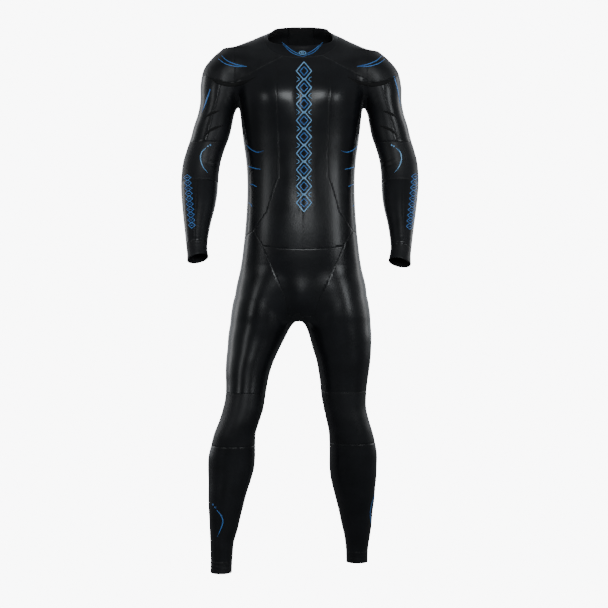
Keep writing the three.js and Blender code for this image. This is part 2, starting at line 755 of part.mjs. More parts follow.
// collar; besideZip is one side of the back, scored where the rolled strip ends so that the zip has a true bed
const besideZip = (triangles, side) => score(keepBelow(triangles, (x) => ZIP.slot - side * x),
  (x, y) => Math.max(ZIP.flat - side * x, behind(x, y)));
const [belowCollar, collar] = cut(upper, collarEdge);
const [collarFront, collarBack] = cut(collar, (x, y) => y - 6);
addPanel('collar_front', collarFront, smoothRubber);
for (const [name, side] of sides) {
  addPanel(`collar_back_${name}`, besideZip(collarBack, side), smoothRubber);
}

// shoulders and trunk
const [trunkSkin, yoke] = cut(belowCollar, yokeSeam);
for (const [name, side] of sides) {
  addPanel(`shoulder_panel_${name}`, besideZip(yoke, side), mattRubber);
}
const [frontSkin, notFront] = cut(trunkSkin, flankFront);
const [flanks, backSkin] = cut(notFront, flankBack);
const [chestCentre, chestSides] = cut(frontSkin, centreSeam);
addPanel('front_centre_panel', chestCentre, smoothRubber);
const [lumbar, upperBack] = cut(backSkin, lumbarTop);
addPanel('lumbar_panel', lumbar, smoothRubber);
const halves = (triangles) => {
  const [right, left] = cut(triangles, (x) => x);
  return { left, right };
};
const chestHalves = halves(chestSides);
const flankHalves = halves(flanks);
for (const [name, side] of sides) {
  addPanel(`chest_side_panel_${name}`, chestHalves[name], smoothRubber);
  addPanel(`upper_back_panel_${name}`, besideZip(upperBack, side), smoothRubber);
  const [flank, gusset] = cut(flankHalves[name], gussetTop);
  addPanel(`flank_panel_${name}`, flank, smoothRubber);
  addPanel(`underarm_gusset_${name}`, gusset, knitRubber);
}

// hips and legs
const [crotch, hips] = cut(lower, crotchSeam);
addPanel('crotch_gusset', crotch, knitRubber);
const [pelvis, legSkins] = cut(hips, (x, y, z) => Math.max(pelvisSeam(x, y, z), 14 - z, y - 6));
addPanel('front_pelvis_panel', pelvis, smoothRubber);
const [rightSkin, leftSkin] = cut(legSkins, legSplit);
for (const [name, side] of sides) {
  const leg = side > 0 ? leftLeg : rightLeg;
  const whole = side > 0 ? leftSkin : rightSkin;
  const [shin, thigh] = cut(whole, above(KNEE.z - KNEE.half));
  const [knee, upperLeg] = cut(thigh, above(KNEE.z + KNEE.half));
  addPanel(`knee_panel_${name}`, knee, knitRubber);
  const [thighFront, thighBack] = cut(upperLeg, legSeam(leg, side));
  addPanel(`thigh_front_panel_${name}`, thighFront, smoothRubber);
  const [hamstring, seat] = cut(thighBack, seatFold);
  addPanel(`thigh_back_panel_${name}`, hamstring, smoothRubber);
  addPanel(`seat_panel_${name}`, seat, smoothRubber);
  const [, shinOpen] = cut(shin, above(ANKLE_Z));
  const [cuff, lowerLeg] = cut(shinOpen, above(ANKLE_Z + ANKLE_WIDTH));
  addPanel(`ankle_cuff_${name}`, cuff, mattRubber);
  const [shinFront, calf] = cut(lowerLeg, legSeam(leg, side));
  addPanel(`shin_panel_${name}`, shinFront, smoothRubber);
  addPanel(`calf_panel_${name}`, calf, smoothRubber);
}

// sleeves
for (const [name] of sides) {
  const open = cut(sleeves[name], armTilted(CUFF.z, CUFF.slopeY, CUFF.slopeX))[1];
  const [cuff, sleeve] = cut(open, armTilted(CUFF.z + CUFF.width, CUFF.slopeY, 0.1));
  addPanel(`wrist_cuff_${name}`, cuff, mattRubber);
  const [forearm, uppers] = cut(sleeve, armTilted(ELBOW.z - ELBOW.half, 0.3, 0));
  const [elbow, upperArm] = cut(uppers, above(ELBOW.z + ELBOW.half));
  addPanel(`elbow_panel_${name}`, elbow, knitRubber);
  const [forearmInner, forearmOuter] = cut(forearm, sleeveSeam);
  addPanel(`forearm_outer_panel_${name}`, forearmOuter, smoothRubber);
  addPanel(`forearm_inner_panel_${name}`, forearmInner, smoothRubber);
  const [armSkin, cap] = cut(upperArm, capSeam);
  addPanel(`shoulder_cap_${name}`, cap, mattRubber);
  const [sleeveInner, sleeveOuter] = cut(armSkin, sleeveSeam);
  addPanel(`upper_sleeve_outer_${name}`, sleeveOuter, smoothRubber);
  addPanel(`upper_sleeve_inner_${name}`, sleeveInner, knitRubber);
}

for (const [name, patch, material] of panels) {
  add(name, thicken(conform(patch), 0, -SKIN, SEAM / 2), material);
}

// ---------- back zip, laid on the rolled strip ----------
add('zip_underflap', thicken(spinePatch, -6.4, -8.4, 0.5), knitRubber);

const zipBottomAngle = -THREE.MathUtils.radToDeg(Math.asin((ZIP.z - ZIP.zBottom) / ZIP.r));
function onArc(x, angle, depth) {
  const a = radians(angle);
  return [x, ZIP.y + (ZIP.r - depth) * Math.cos(a), ZIP.z + (ZIP.r - depth) * Math.sin(a)];
}

// a strip along the arc; its two edges may change from one cross row to the next
function arcStrip(rows, depth, thickness) {
  const positions = [];
  for (const [angle, x0, x1] of rows) {
    positions.push(...onArc(x0, angle, depth), ...onArc(x1, angle, depth));
    positions.push(...onArc(x1, angle, depth + thickness), ...onArc(x0, angle, depth + thickness));
  }
  const faces = [];
  const quad = (a, b, c, d) => faces.push(a, b, c, a, c, d);
  for (let i = 0; i < rows.length - 1; i += 1) {
    const from = i * 4;
    const to = from + 4;
    for (let j = 0; j < 4; j += 1) quad(from + j, to + j, to + ((j + 1) % 4), from + ((j + 1) % 4));
  }
  const end = (rows.length - 1) * 4;
  quad(0, 1, 2, 3);
  quad(end + 3, end + 2, end + 1, end);
  const geometry = new THREE.BufferGeometry();
  geometry.setAttribute('position', new THREE.Float32BufferAttribute(positions, 3));
  geometry.setIndex(faces);
  if (signedVolume(geometry) < 0) {
    for (let i = 0; i < faces.length; i += 3) [faces[i], faces[i + 1]] = [faces[i + 1], faces[i]];
    geometry.setIndex(faces);
  }
  geometry.computeVertexNormals();
  return geometry;
}

function signedVolume(geometry) {
  const index = geometry.index.array;
  const a = new THREE.Vector3();
  const b = new THREE.Vector3();
  const c = new THREE.Vector3();
  let sum = 0;
  for (let i = 0; i < index.length; i += 3) {
    a.fromBufferAttribute(geometry.attributes.position, index[i]);
    b.fromBufferAttribute(geometry.attributes.position, index[i + 1]);
    c.fromBufferAttribute(geometry.attributes.position, index[i + 2]);
    sum += a.dot(b.cross(c)) / 6;
  }
  return sum;
}

const degreesPer = (millimetres) => THREE.MathUtils.radToDeg(millimetres / ZIP.r);
const even = (from, to, count) => Array.from({ length: count + 1 }, (_, i) => from + ((to - from) * i) / count);
const chainTop = ZIP.top - degreesPer(6);
const chainBottom = zipBottomAngle + degreesPer(9);

for (const [name, side] of sides) {
  const tapeRows = even(zipBottomAngle - degreesPer(4), ZIP.top, 24).map((a) => [a, side * TAPE.from, side * TAPE.to]);
  add(`zip_tape_${name}`, arcStrip(tapeRows, TAPE.depth, TAPE.thickness), webbing);
  const rows = [];
  const step = degreesPer(TEETH.pitch);
  for (let a = chainBottom + (side > 0 ? 0 : step / 2); a + step < chainTop; a += step) {
    const tooth = side * TEETH.tip;
    const valley = side * TEETH.gap;
    rows.push([a, valley], [a + 0.1 * step, tooth], [a + 0.5 * step, tooth], [a + 0.6 * step, valley]);
  }
  const chain = rows.map(([a, edge]) => [a, edge, side * TEETH.root]);
  add(`zip_teeth_${name}`, arcStrip(chain, TEETH.depth, TEETH.thickness), nylon);
  const stop = [chainTop + 0.05, ZIP.top - 0.1].map((a) => [a, side * 0.4, side * 3.4]);
  add(`zip_top_stop_${name}`, arcStrip(stop, 0.5, 3.2), metal);
}
const bottomStop = [zipBottomAngle + 0.1, chainBottom - 0.08].map((a) => [a, -3.6, 3.6]);
add('zip_bottom_stop', arcStrip(bottomStop, 0.4, 3.3), metal);

// ---------- slider and pull tab ----------
const wasm = await Module();
wasm.setup();

function toSolid(geometry) {
  const bare = geometry.clone();
  bare.deleteAttribute('normal');
  bare.deleteAttribute('uv');
  const merged = mergeVertices(bare, 1e-4);
  const vertProperties = new Float32Array(merged.attributes.position.array);
  const triVerts = new Uint32Array(merged.index.array);
  return new wasm.Manifold(new wasm.Mesh({ numProp: 3, vertProperties, triVerts }));
}

function toGeometry(solid) {
  const mesh = solid.getMesh();
  const geometry = new THREE.BufferGeometry();
  geometry.setAttribute('position', new THREE.BufferAttribute(mesh.vertProperties, 3));
  geometry.setIndex(new THREE.BufferAttribute(mesh.triVerts, 1));
  geometry.computeVertexNormals();
  return geometry;
}

// local frame of the slider: x across, y outwards from the back, z up along the zip
function extrudeAcross(outline, hole, width) {
  const shape = new THREE.Shape(outline.map(([y, z]) => new THREE.Vector2(y, z)));
  if (hole) shape.holes.push(new THREE.Path(hole.map(([y, z]) => new THREE.Vector2(y, z))));
  const solid = new THREE.ExtrudeGeometry(shape, { depth: width, bevelEnabled: false });
  solid.translate(0, 0, -width / 2);
  // the shape's own axes are (outwards, up); its depth runs across
  solid.applyMatrix4(new THREE.Matrix4().makeBasis(
    new THREE.Vector3(0, 1, 0), new THREE.Vector3(0, 0, 1), new THREE.Vector3(1, 0, 0)));
  return solid;
}

const plateLow = SLIDER.lift - TEETH.depth;
const plateTop = plateLow + SLIDER.plate;
const halfLength = SLIDER.length / 2;
const plan = new THREE.Shape([
  [-SLIDER.width / 2, halfLength - 3], [-3, halfLength], [3, halfLength], [SLIDER.width / 2, halfLength - 3],
  [4.2, -halfLength], [-4.2, -halfLength],
].map(([x, z]) => new THREE.Vector2(x, z)));
const plate = new THREE.ExtrudeGeometry(plan, { depth: SLIDER.plate, bevelEnabled: false });
plate.applyMatrix4(new THREE.Matrix4().makeBasis(
  new THREE.Vector3(1, 0, 0), new THREE.Vector3(0, 0, 1), new THREE.Vector3(0, -1, 0)));
plate.translate(0, plateTop, 0);
const bridgeOutline = [[plateTop - 0.5, -5], [plateTop + 2.9, -3.6], [plateTop + 3.5, 0], [plateTop + 2.9, 3.6],
  [plateTop - 0.5, 5]];
const bridgeHole = [[plateTop + 0.15, -3], [plateTop + 0.15, 3], [plateTop + 1.9, 2.4], [plateTop + 2.3, 0],
  [plateTop + 1.9, -2.4]];
const bridge = extrudeAcross(bridgeOutline, bridgeHole, 2.6);
let slider = toSolid(plate).add(toSolid(bridge));
for (const side of [1, -1]) {
  const flange = new THREE.BoxGeometry(1.1, 3.2, SLIDER.length - 4.5);
  flange.translate(side * 4.1, plateTop - 2.4, -1);
  slider = slider.add(toSolid(flange));
}

const sliderAt = new THREE.Group();
sliderAt.position.set(...onArc(0, SLIDER.angle, 0));
sliderAt.rotation.x = radians(SLIDER.angle);
wetsuit.add(sliderAt);
const sliderMesh = new THREE.Mesh(toGeometry(slider), metal);
sliderMesh.name = 'zip_slider';
sliderAt.add(sliderMesh);

// the pull tab: a plate with an eye round the bridge and a cord hole at its far end
const tabTop = 1.9;
const eyeTop = 0.7;
const tabShape = new THREE.Shape([
  [-PULL.width / 2, tabTop - 2], [-PULL.width / 2 + 1.5, tabTop], [PULL.width / 2 - 1.5, tabTop],
  [PULL.width / 2, tabTop - 2], [PULL.width / 2 - 1.2, -PULL.length + 9], [PULL.width / 2, -PULL.length + 2],
  [PULL.width / 2 - 2, -PULL.length], [-PULL.width / 2 + 2, -PULL.length], [-PULL.width / 2, -PULL.length + 2],
  [-PULL.width / 2 + 1.2, -PULL.length + 9],
].map(([x, z]) => new THREE.Vector2(x, z)));
const eye = [[-1.8, -5.6], [1.8, -5.6], [1.8, eyeTop], [-1.8, eyeTop]];
tabShape.holes.push(new THREE.Path(eye.map(([x, z]) => new THREE.Vector2(x, z))));
const cordHole = Array.from({ length: 10 }, (_, i) => {
  const a = radians(36 * i);
  return new THREE.Vector2(2 * Math.cos(a), 5 - PULL.length + 2 * Math.sin(a));
});
tabShape.holes.push(new THREE.Path(cordHole));
const tab = new THREE.ExtrudeGeometry(tabShape, { depth: PULL.thickness, bevelEnabled: false });
tab.applyMatrix4(new THREE.Matrix4().makeBasis(
  new THREE.Vector3(1, 0, 0), new THREE.Vector3(0, 0, 1), new THREE.Vector3(0, -1, 0)));
// its pivot is the middle of the bar that lies in the bridge
const pivotUp = (tabTop + eyeTop) / 2;
tab.translate(0, PULL.thickness / 2, -pivotUp);
const pullMesh = new THREE.Mesh(toGeometry(toSolid(tab)), nylon);
pullMesh.name = 'zip_pull_tab';
pullMesh.position.set(0, plateTop + 0.6 + PULL.thickness / 2, pivotUp);
pullMesh.rotation.x = radians(PULL.stands);
sliderAt.add(pullMesh);

// ---------- collar tab that closes over the top of the zip ----------
add('collar_tab', thicken(tabPatch, 4.4, 2.5, 0.3), webbing);

export default wetsuit;
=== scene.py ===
import math
import bpy
import numpy as np
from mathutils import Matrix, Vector


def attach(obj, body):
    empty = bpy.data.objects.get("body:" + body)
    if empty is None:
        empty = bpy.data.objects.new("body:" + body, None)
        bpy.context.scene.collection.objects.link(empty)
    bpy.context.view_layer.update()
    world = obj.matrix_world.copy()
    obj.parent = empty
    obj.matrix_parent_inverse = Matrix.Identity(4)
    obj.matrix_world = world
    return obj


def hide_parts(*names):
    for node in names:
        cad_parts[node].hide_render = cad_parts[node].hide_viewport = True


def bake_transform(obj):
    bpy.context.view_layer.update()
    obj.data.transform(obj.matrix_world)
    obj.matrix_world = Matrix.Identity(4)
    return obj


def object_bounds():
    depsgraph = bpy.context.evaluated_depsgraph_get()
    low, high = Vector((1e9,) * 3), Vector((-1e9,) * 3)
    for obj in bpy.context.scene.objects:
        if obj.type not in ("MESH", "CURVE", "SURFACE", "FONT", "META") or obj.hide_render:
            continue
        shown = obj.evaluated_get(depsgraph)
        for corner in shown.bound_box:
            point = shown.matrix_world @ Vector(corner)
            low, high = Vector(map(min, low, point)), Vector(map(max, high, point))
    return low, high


# The looks of a full swimming wetsuit. The body surface is worked out in millimetres, in the
# row's own frame: +X is the wearer's left, -Y the front, +Z up, the origin at the crotch.
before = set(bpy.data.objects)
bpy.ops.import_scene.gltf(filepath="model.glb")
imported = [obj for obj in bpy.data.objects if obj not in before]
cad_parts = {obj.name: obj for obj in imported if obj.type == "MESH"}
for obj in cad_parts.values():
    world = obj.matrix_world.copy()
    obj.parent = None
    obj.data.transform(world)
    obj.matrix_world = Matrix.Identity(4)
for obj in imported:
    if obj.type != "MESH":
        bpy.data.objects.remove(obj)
CAD_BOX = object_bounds()
SIDES = (("left", 1), ("right", -1))
MM = 0.001

# ---------- how finely the surface is made ----------
CELL = 4.6  # spacing of the surface's points
GRID_LOW, GRID_HIGH = (-342, -199, -748), (342, 165, 820)  # the grid's box around the body
GRID_OFF = (0.013, 0.026, 0.039)  # keeps the grid's planes off round numbers
BAND = 3  # fine cells per coarse cell, for finding where the surface runs
SNAP = 0.32 * CELL  # a point this close to a seam is pulled onto it

# ---------- driving dimensions ----------
# They are the CAD source's, but for the neck's rim, the crotch, the right shoulder's lift, the left
# cuff's drop and the narrower seams, which are closer to the real suit here.
SKIN = 3.5  # thickness of the foam rubber
SEAM_HALF = 0.22  # half the clear gap at a seam
FRONT_CENTRE = 6  # the front's middle line lies this far to the left
NECK_AT, NECK_HALF = (0, 4), (72, 64)
COLLAR_WIDTH = 27
ARMHOLE_X, ARMS_ABOVE = 174, 114
SIDE_FRONT_Y, SIDE_BACK_Y, GUSSET_Z = -35, 47, 492  # the flank's front and back seams, and its top
CUFF_Z, CUFF_SLOPE_Y, CUFF_SLOPE_X, CUFF_WIDTH = 167, 0.5, 0.3, 34
CUFF_DROP = {"left": 10, "right": 0}  # the left sleeve is pulled down a little further
ANKLE_Z, ANKLE_WIDTH = -661, 32
ELBOW_Z, ELBOW_HALF = 417, 55
KNEE_Z, KNEE_HALF = -257, 70
ARM_LEAN = 10  # how much further out the right forearm hangs
# how softly the limbs run into each other
NECK_BLEND, ARMPIT_BLEND, SHOULDER_BLEND, CROTCH_BLEND, HIP_BLEND = 30, 12, 42, 14, 26
SHOULDER_LIFT = 8  # how much higher the right shoulder is held
# the zip lies on an arc of radius ZIP_R about the point (ZIP_Y, ZIP_Z)
ZIP_R, ZIP_Y, ZIP_Z, ZIP_TOP_ANGLE = 737, -619, 517, 18.4
ZIP_SLOT, ZIP_FLAT, ZIP_BOTTOM = 7, 16, 300  # half the slot, half the true arc's strip, and the low end
UNDERFLAP_HALF, UNDERFLAP_LOW = 34, 306
FLAP_X, FLAP_WIDTH = (-26, 36), 27
STUDIO_WHITE, STUDIO_GLOW = (0.985, 0.99, 1.0), 9.0  # the pale studio, as the camera sees it

# stations of the body: z, centre x, centre y, half width, half depth
TRUNK = [
    (0, 0, 13, 62, 68), (40, 0, 15, 128, 91), (75, 0, 16, 160, 100), (120, 0, 14, 163, 102),
    (170, 0, 6, 156, 98), (230, 0, -1.5, 149, 91.5), (293, 0, -4.5, 144, 86.5), (356, 0, -2.5, 142, 86.5),
    (420, 0, 0.5, 144, 93.5), (484, 0, 1.5, 151, 102.5), (545, 0, 1, 159, 111), (600, 0, 2, 169, 110),
    (645, 0, 6, 178, 100), (680, 0, 13, 188, 85), (706, 0, 20, 177, 72), (724, 0, 23, 154, 63),
    (742, 0, 26, 124, 56), (757, 0, 28, 92, 48), (768, 0, 26, 56, 34),
]
NECK = [
    (640, 0, 18, 66, 60), (700, 0, 14, 71, 60), (740, 0, 10, 73, 61), (775, 0, 6, 71, 62),
    (820, 0, 2, 69, 64),
]
# the rim of the neck opening, from front to back: y, height
NECK_RIM = [
    (-90, 706), (-64, 717), (-45, 725), (-30, 733), (-12, 750), (6, 766), (30, 774), (70, 784), (110, 794),
]
ARM = [
    (712, 176, 14, 30, 34), (690, 186, 13, 46, 50), (660, 198, 12, 58, 62), (620, 207, 12, 59, 66),
    (580, 215, 11, 52, 63), (547, 225, 11, 48, 60), (515, 233, 10, 50, 57), (484, 240, 8, 50.5, 55),
    (452, 250, 4, 50, 52), (420, 258, -2, 50, 50), (388, 261, -11, 49.5, 50), (356, 261, -25, 49, 51),
    (325, 260, -40, 46.5, 50), (293, 260, -56, 42, 46), (261, 261, -72, 36, 41), (229, 261, -88, 31, 36),
    (197, 260, -104, 27.5, 32), (175, 257, -115, 27.5, 31.5), (150, 253, -128, 31, 34),
    (128, 250, -139, 32, 35),
]
# the legs: z, half depth, then centre x, centre y and half width of the right and of the left leg
LEGS = [
    (150, 70, (-74, 12, 56), (74, 12, 56)), (110, 88, (-82, 12, 76), (82, 12, 78)),
    (60, 98, (-97, 14, 81), (92, 14, 85)), (20, 100, (-104, 14, 82), (97, 15, 87)),
    (-9, 97, (-107, 12, 82), (99, 15, 87)), (-41, 92, (-117, 8, 77), (105, 14, 83)),
    (-73, 88, (-126, 2, 70), (109, 14, 78.5)), (-105, 83, (-135, -6, 64), (113, 13, 72.5)),
    (-136, 77, (-141, -14, 59), (114, 12, 67.5)), (-168, 71, (-144, -23, 55), (114, 10, 63)),
    (-200, 66, (-147, -32, 53), (114, 8, 60)), (-232, 62, (-153, -40, 53.5), (117, 8, 57)),
    (-264, 61, (-163, -44, 53.5), (124, 10, 57)), (-295, 61, (-174, -43, 55), (132, 15, 58.5)),
    (-327, 63, (-179, -38, 58.5), (137, 24, 61.5)), (-359, 64, (-183, -35, 62), (140, 31, 64)),
    (-391, 62, (-185, -36, 61), (140, 36, 64)), (-423, 58, (-189, -40, 56), (141, 40, 62)),
    (-454, 53, (-194, -45, 51), (143, 45, 57)), (-486, 48, (-198, -49, 46.5), (146, 51, 52)),
    (-518, 43, (-201, -53, 41.5), (148, 57, 46)), (-550, 39, (-204, -56, 37), (150, 63, 41.5)),
    (-582, 35, (-208, -59, 31.5), (152, 70, 36)), (-613, 33.5, (-209, -61, 29.5), (152, 76, 31.5)),
    (-645, 33, (-210, -63, 28.5), (152, 82, 29.5)), (-720, 34, (-212, -66, 29), (153, 94, 30)),
]
RIGHT_LEG = [(z, x, y, width, depth) for z, depth, (x, y, width), _ in LEGS]
LEFT_LEG = [(z, x, y, width, depth) for z, depth, _, (x, y, width) in LEGS]
# soft swellings and hollows: centre, spread, height; one off the centre line is mirrored
FORMS = [
    ((78, -104, 592), (56, 45, 42), 9), ((0, -110, 590), (15, 40, 75), -5),
    ((140, 40, 500), (40, 60, 80), 5), ((72, 108, 605), (44, 40, 56), 9), ((80, 104, 62), (58, 55, 66), 15),
    ((0, 110, 60), (14, 60, 80), -12), ((30, -92, 380), (26, 30, 90), 3),
    ((0, -92, 400), (7, 30, 120), -2.5), ((0, -84, 62), (30, 30, 46), 7),
]
# creases that the CAD model leaves out: middle, direction along the crease, half length,
# distance between creases, spread across them, height
CREASES = [
    ((170, -50, 566), (0.62, 0, 0.78), 26, 16, 13, 0.8),
    ((222, -44, 414), (0.9, 0, 0.42), 20, 15, 13, 0.7),
    ((268, 50, 430), (1, 0, 0.05), 34, 18, 16, 0.9),
    ((256, -140, 212), (1, 0, 0), 22, 8, 10, 0.5),
    ((120, 100, 6), (1, 0, 0.12), 46, 20, 14, 1.0),
]
CREASE_REACH = 35  # how far a crease reaches along and away from its middle
LEG_CREASES = [
    ((80, 14, -240), (0, 0.9, -0.44), 30, 18, 20, 0.8),
    ((124, 68, -262), (1, 0, 0.1), 40, 17, 20, 1.1),
    ((150, 60, -640), (1, 0, 0), 30, 9, 12, 0.5),
]


def smoothstep(v, low, high):
    t = np.clip((v - low) / (high - low), 0, 1)
    return t * t * (3 - 2 * t)


def mix(a, b, t):
    return a + (b - a) * t


def make_curve(stations, column):
    """A smooth curve through one column of a station list."""
    z, v = np.array(sorted((row[0], row[column]) for row in stations), float).T
    slope = np.gradient(v)
    slope[1:-1] = (v[2:] - v[:-2]) / (z[2:] - z[:-2])
    slope[0] = (v[1] - v[0]) / (z[1] - z[0])
    slope[-1] = (v[-1] - v[-2]) / (z[-1] - z[-2])

    def value(wanted):
        at = np.clip(wanted, z[0], z[-1])
        i = np.clip(np.searchsorted(z, at, side="right") - 1, 0, len(z) - 2)
        h = z[i + 1] - z[i]
        u = (at - z[i]) / h
        u2, u3 = u * u, u * u * u
        start = (2 * u3 - 3 * u2 + 1) * v[i] + (u3 - 2 * u2 + u) * h * slope[i]
        return start + (3 * u2 - 2 * u3) * v[i + 1] + (u3 - u2) * h * slope[i + 1]

    return value


class Tube:
    """A limb along a list of stations, each of them a rounded outline."""

    def __init__(self, stations, power=2.0):
        heights = [row[0] for row in stations]
        self.top, self.bottom, self.power = max(heights), min(heights), power
        self.cx, self.cy, self.a, self.b = (make_curve(stations, column) for column in (1, 2, 3, 4))

    def distance(self, x, y, z, shift=0):
        """About how far outside the tube a point lies; shift moves the tube in x."""
        a, b, p = self.a(z), self.b(z), self.power
        u = np.maximum(np.abs(x - self.cx(z) - shift) / a, 1e-4)
        v = np.maximum(np.abs(y - self.cy(z)) / b, 1e-4)
        k = (u**p + v**p) ** (1 / p)
        slope = k ** (1 - p) * np.hypot(u ** (p - 1) / a, v ** (p - 1) / b)
        f = (k - 1) / slope
        over = np.maximum(np.maximum(z - self.top, self.bottom - z), 0)
        return np.where(over == 0, f, np.where(f > 0, np.hypot(f, over), over))


trunk, neck, arm = Tube(TRUNK, 2.25), Tube(NECK), Tube(ARM)
right_leg, left_leg = Tube(RIGHT_LEG), Tube(LEFT_LEG)


def arm_lean(x, z):
    """How much further out the right arm hangs; nothing on the left, where x is above zero."""
    return np.where(x > 0, 0, ARM_LEAN * smoothstep(600 - z, 0, 420))


def smooth_min(a, b, k):
    h = np.clip(0.5 + 0.5 * (b - a) / k, 0, 1)
    return b * (1 - h) + a * h - k * h * (1 - h)


def forms_at(x, y, z):
    total = np.zeros_like(x)
    for at, spread, height in FORMS:
        for side in (1, -1) if at[0] else (1,):
            d = ((x - side * at[0]) / spread[0]) ** 2
            d = d + ((y - at[1]) / spread[1]) ** 2 + ((z - at[2]) / spread[2]) ** 2
            total += height * np.exp(-d)
    return total


def crease_places():
    """Every crease with its side, and how far that side's limb is out of mirror symmetry."""
    for crease in CREASES:
        yield crease, 1, 0, 0
        yield crease, -1, -arm_lean(-1, crease[0][2]), 0
    for crease in LEG_CREASES:
        height = crease[0][2]
        yield crease, 1, 0, 0
        yield (crease, -1, float(right_leg.cx(height) + left_leg.cx(height)),
               float(right_leg.cy(height) - left_leg.cy(height)))


def creases_at(x, y, z):
    total = np.zeros_like(x)
    for (at, along, length, pitch, spread, height), side, dx, dy in crease_places():
        px, py, pz = x - side * at[0] - dx, y - at[1] - dy, z - at[2]
        ax, ay, az = side * along[0], along[1], along[2]
        level = math.hypot(ax, ay)
        run = px * ax + py * ay + pz * az
        # across the crease, in the upright plane that holds it
        across = pz * level - (px * ax + py * ay) * az / level
        away = px * px + py * py + pz * pz - run * run - across * across
        wave = np.cos(2 * math.pi * (across + 0.06 * run) / pitch)
        fade = (run / length) ** 2 + (across / spread) ** 2 + away / CREASE_REACH**2
        total += height * wave * np.exp(-fade)
    return total


def body(x, y, z, creased=True):
    """Negative inside the suit's outer surface and positive outside, about in millimetres."""
    unlifted = z - SHOULDER_LIFT * smoothstep(-x, 20, 210) * smoothstep(z, 560, 660)
    f = smooth_min(trunk.distance(x, y, unlifted), neck.distance(x, y, unlifted), NECK_BLEND)
    arms = arm.distance(np.abs(x), y, unlifted, arm_lean(x, z))
    f = smooth_min(f, arms, mix(ARMPIT_BLEND, SHOULDER_BLEND, np.clip((z - 570) / 80, 0, 1)))
    legs = smooth_min(right_leg.distance(x, y, z), left_leg.distance(x, y, z), CROTCH_BLEND)
    f = smooth_min(f, legs, HIP_BLEND) - forms_at(x, y, z)
    if creased:
        f -= creases_at(x, y, z)
    # along the spine the back is rolled to one true radius, on which the zip runs
    spine = (1 - smoothstep(np.abs(x), ZIP_FLAT, 60)) * smoothstep(y, 0, 40) * smoothstep(z, 250, 310)
    arc = np.hypot(y - ZIP_Y, z - ZIP_Z) - ZIP_R
    return f * (1 - spine) + arc * spine


def slope_of(f, p, step):
    x, y, z = p.T
    return np.stack([f(x + step, y, z) - f(x - step, y, z), f(x, y + step, z) - f(x, y - step, z),
                     f(x, y, z + step) - f(x, y, z - step)], 1) / (2 * step)


def unit(v):
    return v / np.maximum(np.linalg.norm(v, axis=-1, keepdims=True), 1e-12)


def normals_at(p):
    return unit(slope_of(body, p, 1.5))


def onto_body(p, rounds=2):
    q = p.copy()
    for _ in range(rounds):
        g = slope_of(body, q, 0.5)
        size = np.maximum((g * g).sum(1), 0.05)
        d = -body(*q.T) / size
        reach = np.minimum(1, 8 / np.maximum(np.abs(d) * np.sqrt(size), 1e-9))
        q = q + (d * reach)[:, None] * g
    return q


# ---------- a closed triangle skin over the whole body ----------
def field_on_grid(axes):
    """The body's values on a grid: exact near the surface, and only the right sign elsewhere."""
    coarse_axes = [a[::BAND] for a in axes]
    coarse = body(*(c.ravel() for c in np.meshgrid(*coarse_axes, indexing="ij")), creased=False)
    shape = [len(a) for a in coarse_axes]
    spread = coarse.reshape(shape)
    for axis in range(3):
        spread = np.repeat(spread, BAND, axis)
    spread = spread[tuple(slice(0, len(a)) for a in axes)].copy()
    near = np.abs(spread) < 2.2 * BAND * CELL
    where = np.nonzero(near)
    points = [a[i] for a, i in zip(axes, where)]
    for start in range(0, len(points[0]), 400000):
        part = slice(start, start + 400000)
        spread[tuple(w[part] for w in where)] = body(*(p[part] for p in points))
    return spread


def closed_skin():
    """Points on the body's surface, one for each grid cell that it passes through, and triangles."""
    axes = []
    for low, high, off in zip(GRID_LOW, GRID_HIGH, GRID_OFF):
        count = int(math.ceil((high - low) / CELL / BAND)) * BAND + 1
        axes.append(low + CELL * np.arange(count) + off)
    values = field_on_grid(axes)
    grid = np.stack(np.meshgrid(*axes, indexing="ij"), -1).astype(np.float32)
    cells = np.array(values.shape) - 1
    total = np.zeros((*cells, 3), np.float32)
    crossings = np.zeros(cells, np.int8)

    def part(axis, start, stop):
        index = [slice(None)] * 3
        index[axis] = slice(start, stop)
        return tuple(index)

    for axis in range(3):
        a, b = values[part(axis, 0, -1)], values[part(axis, 1, None)]
        cross = (a < 0) != (b < 0)
        t = np.where(cross, a / np.where(cross, a - b, 1), 0)[..., None]
        point = grid[part(axis, 0, -1)] * (1 - t) + grid[part(axis, 1, None)] * t
        others = [o for o in range(3) if o != axis]
        for da in (0, 1):
            for db in (0, 1):
                index = [slice(None)] * 3
                index[others[0]] = slice(da, da + cells[others[0]])
                index[others[1]] = slice(db, db + cells[others[1]])
                index = tuple(index)
                total += np.where(cross[index][..., None], point[index], 0)
                crossings += cross[index]
    active = crossings > 0
    number = -np.ones(active.shape, int)
    number[active] = np.arange(active.sum())
    points = (total[active] / crossings[active][:, None]).astype(float)
    quads = []
    inside = values < 0
    for axis in range(3):
        u, v = (axis + 1) % 3, (axis + 2) % 3
        index = [slice(1, -1)] * 3
        index[axis] = slice(0, -1)
        first = inside[tuple(index)]
        index[axis] = slice(1, None)
        second = inside[tuple(index)]
        for sign in (True, False):
            at = np.argwhere((first == sign) & (second != sign))
            at[:, u] += 1
            at[:, v] += 1
            ring = []
            for du, dv in ((1, 1), (0, 1), (0, 0), (1, 0)):
                cell = at.copy()
                cell[:, u] -= du
                cell[:, v] -= dv
                ring.append(number[tuple(cell.T)])
            quads.append(np.stack(ring if sign else ring[::-1], 1))
    quads = np.concatenate(quads)
    points = onto_body(points, 3)
    first = np.linalg.norm(points[quads[:, 0]] - points[quads[:, 2]], axis=1)
    second = np.linalg.norm(points[quads[:, 1]] - points[quads[:, 3]], axis=1)
    short = (first < second)[:, None]
    one = np.where(short, quads[:, [0, 1, 2]], quads[:, [1, 2, 3]])
    two = np.where(short, quads[:, [0, 2, 3]], quads[:, [1, 3, 0]])
    return points, np.concatenate([one, two])


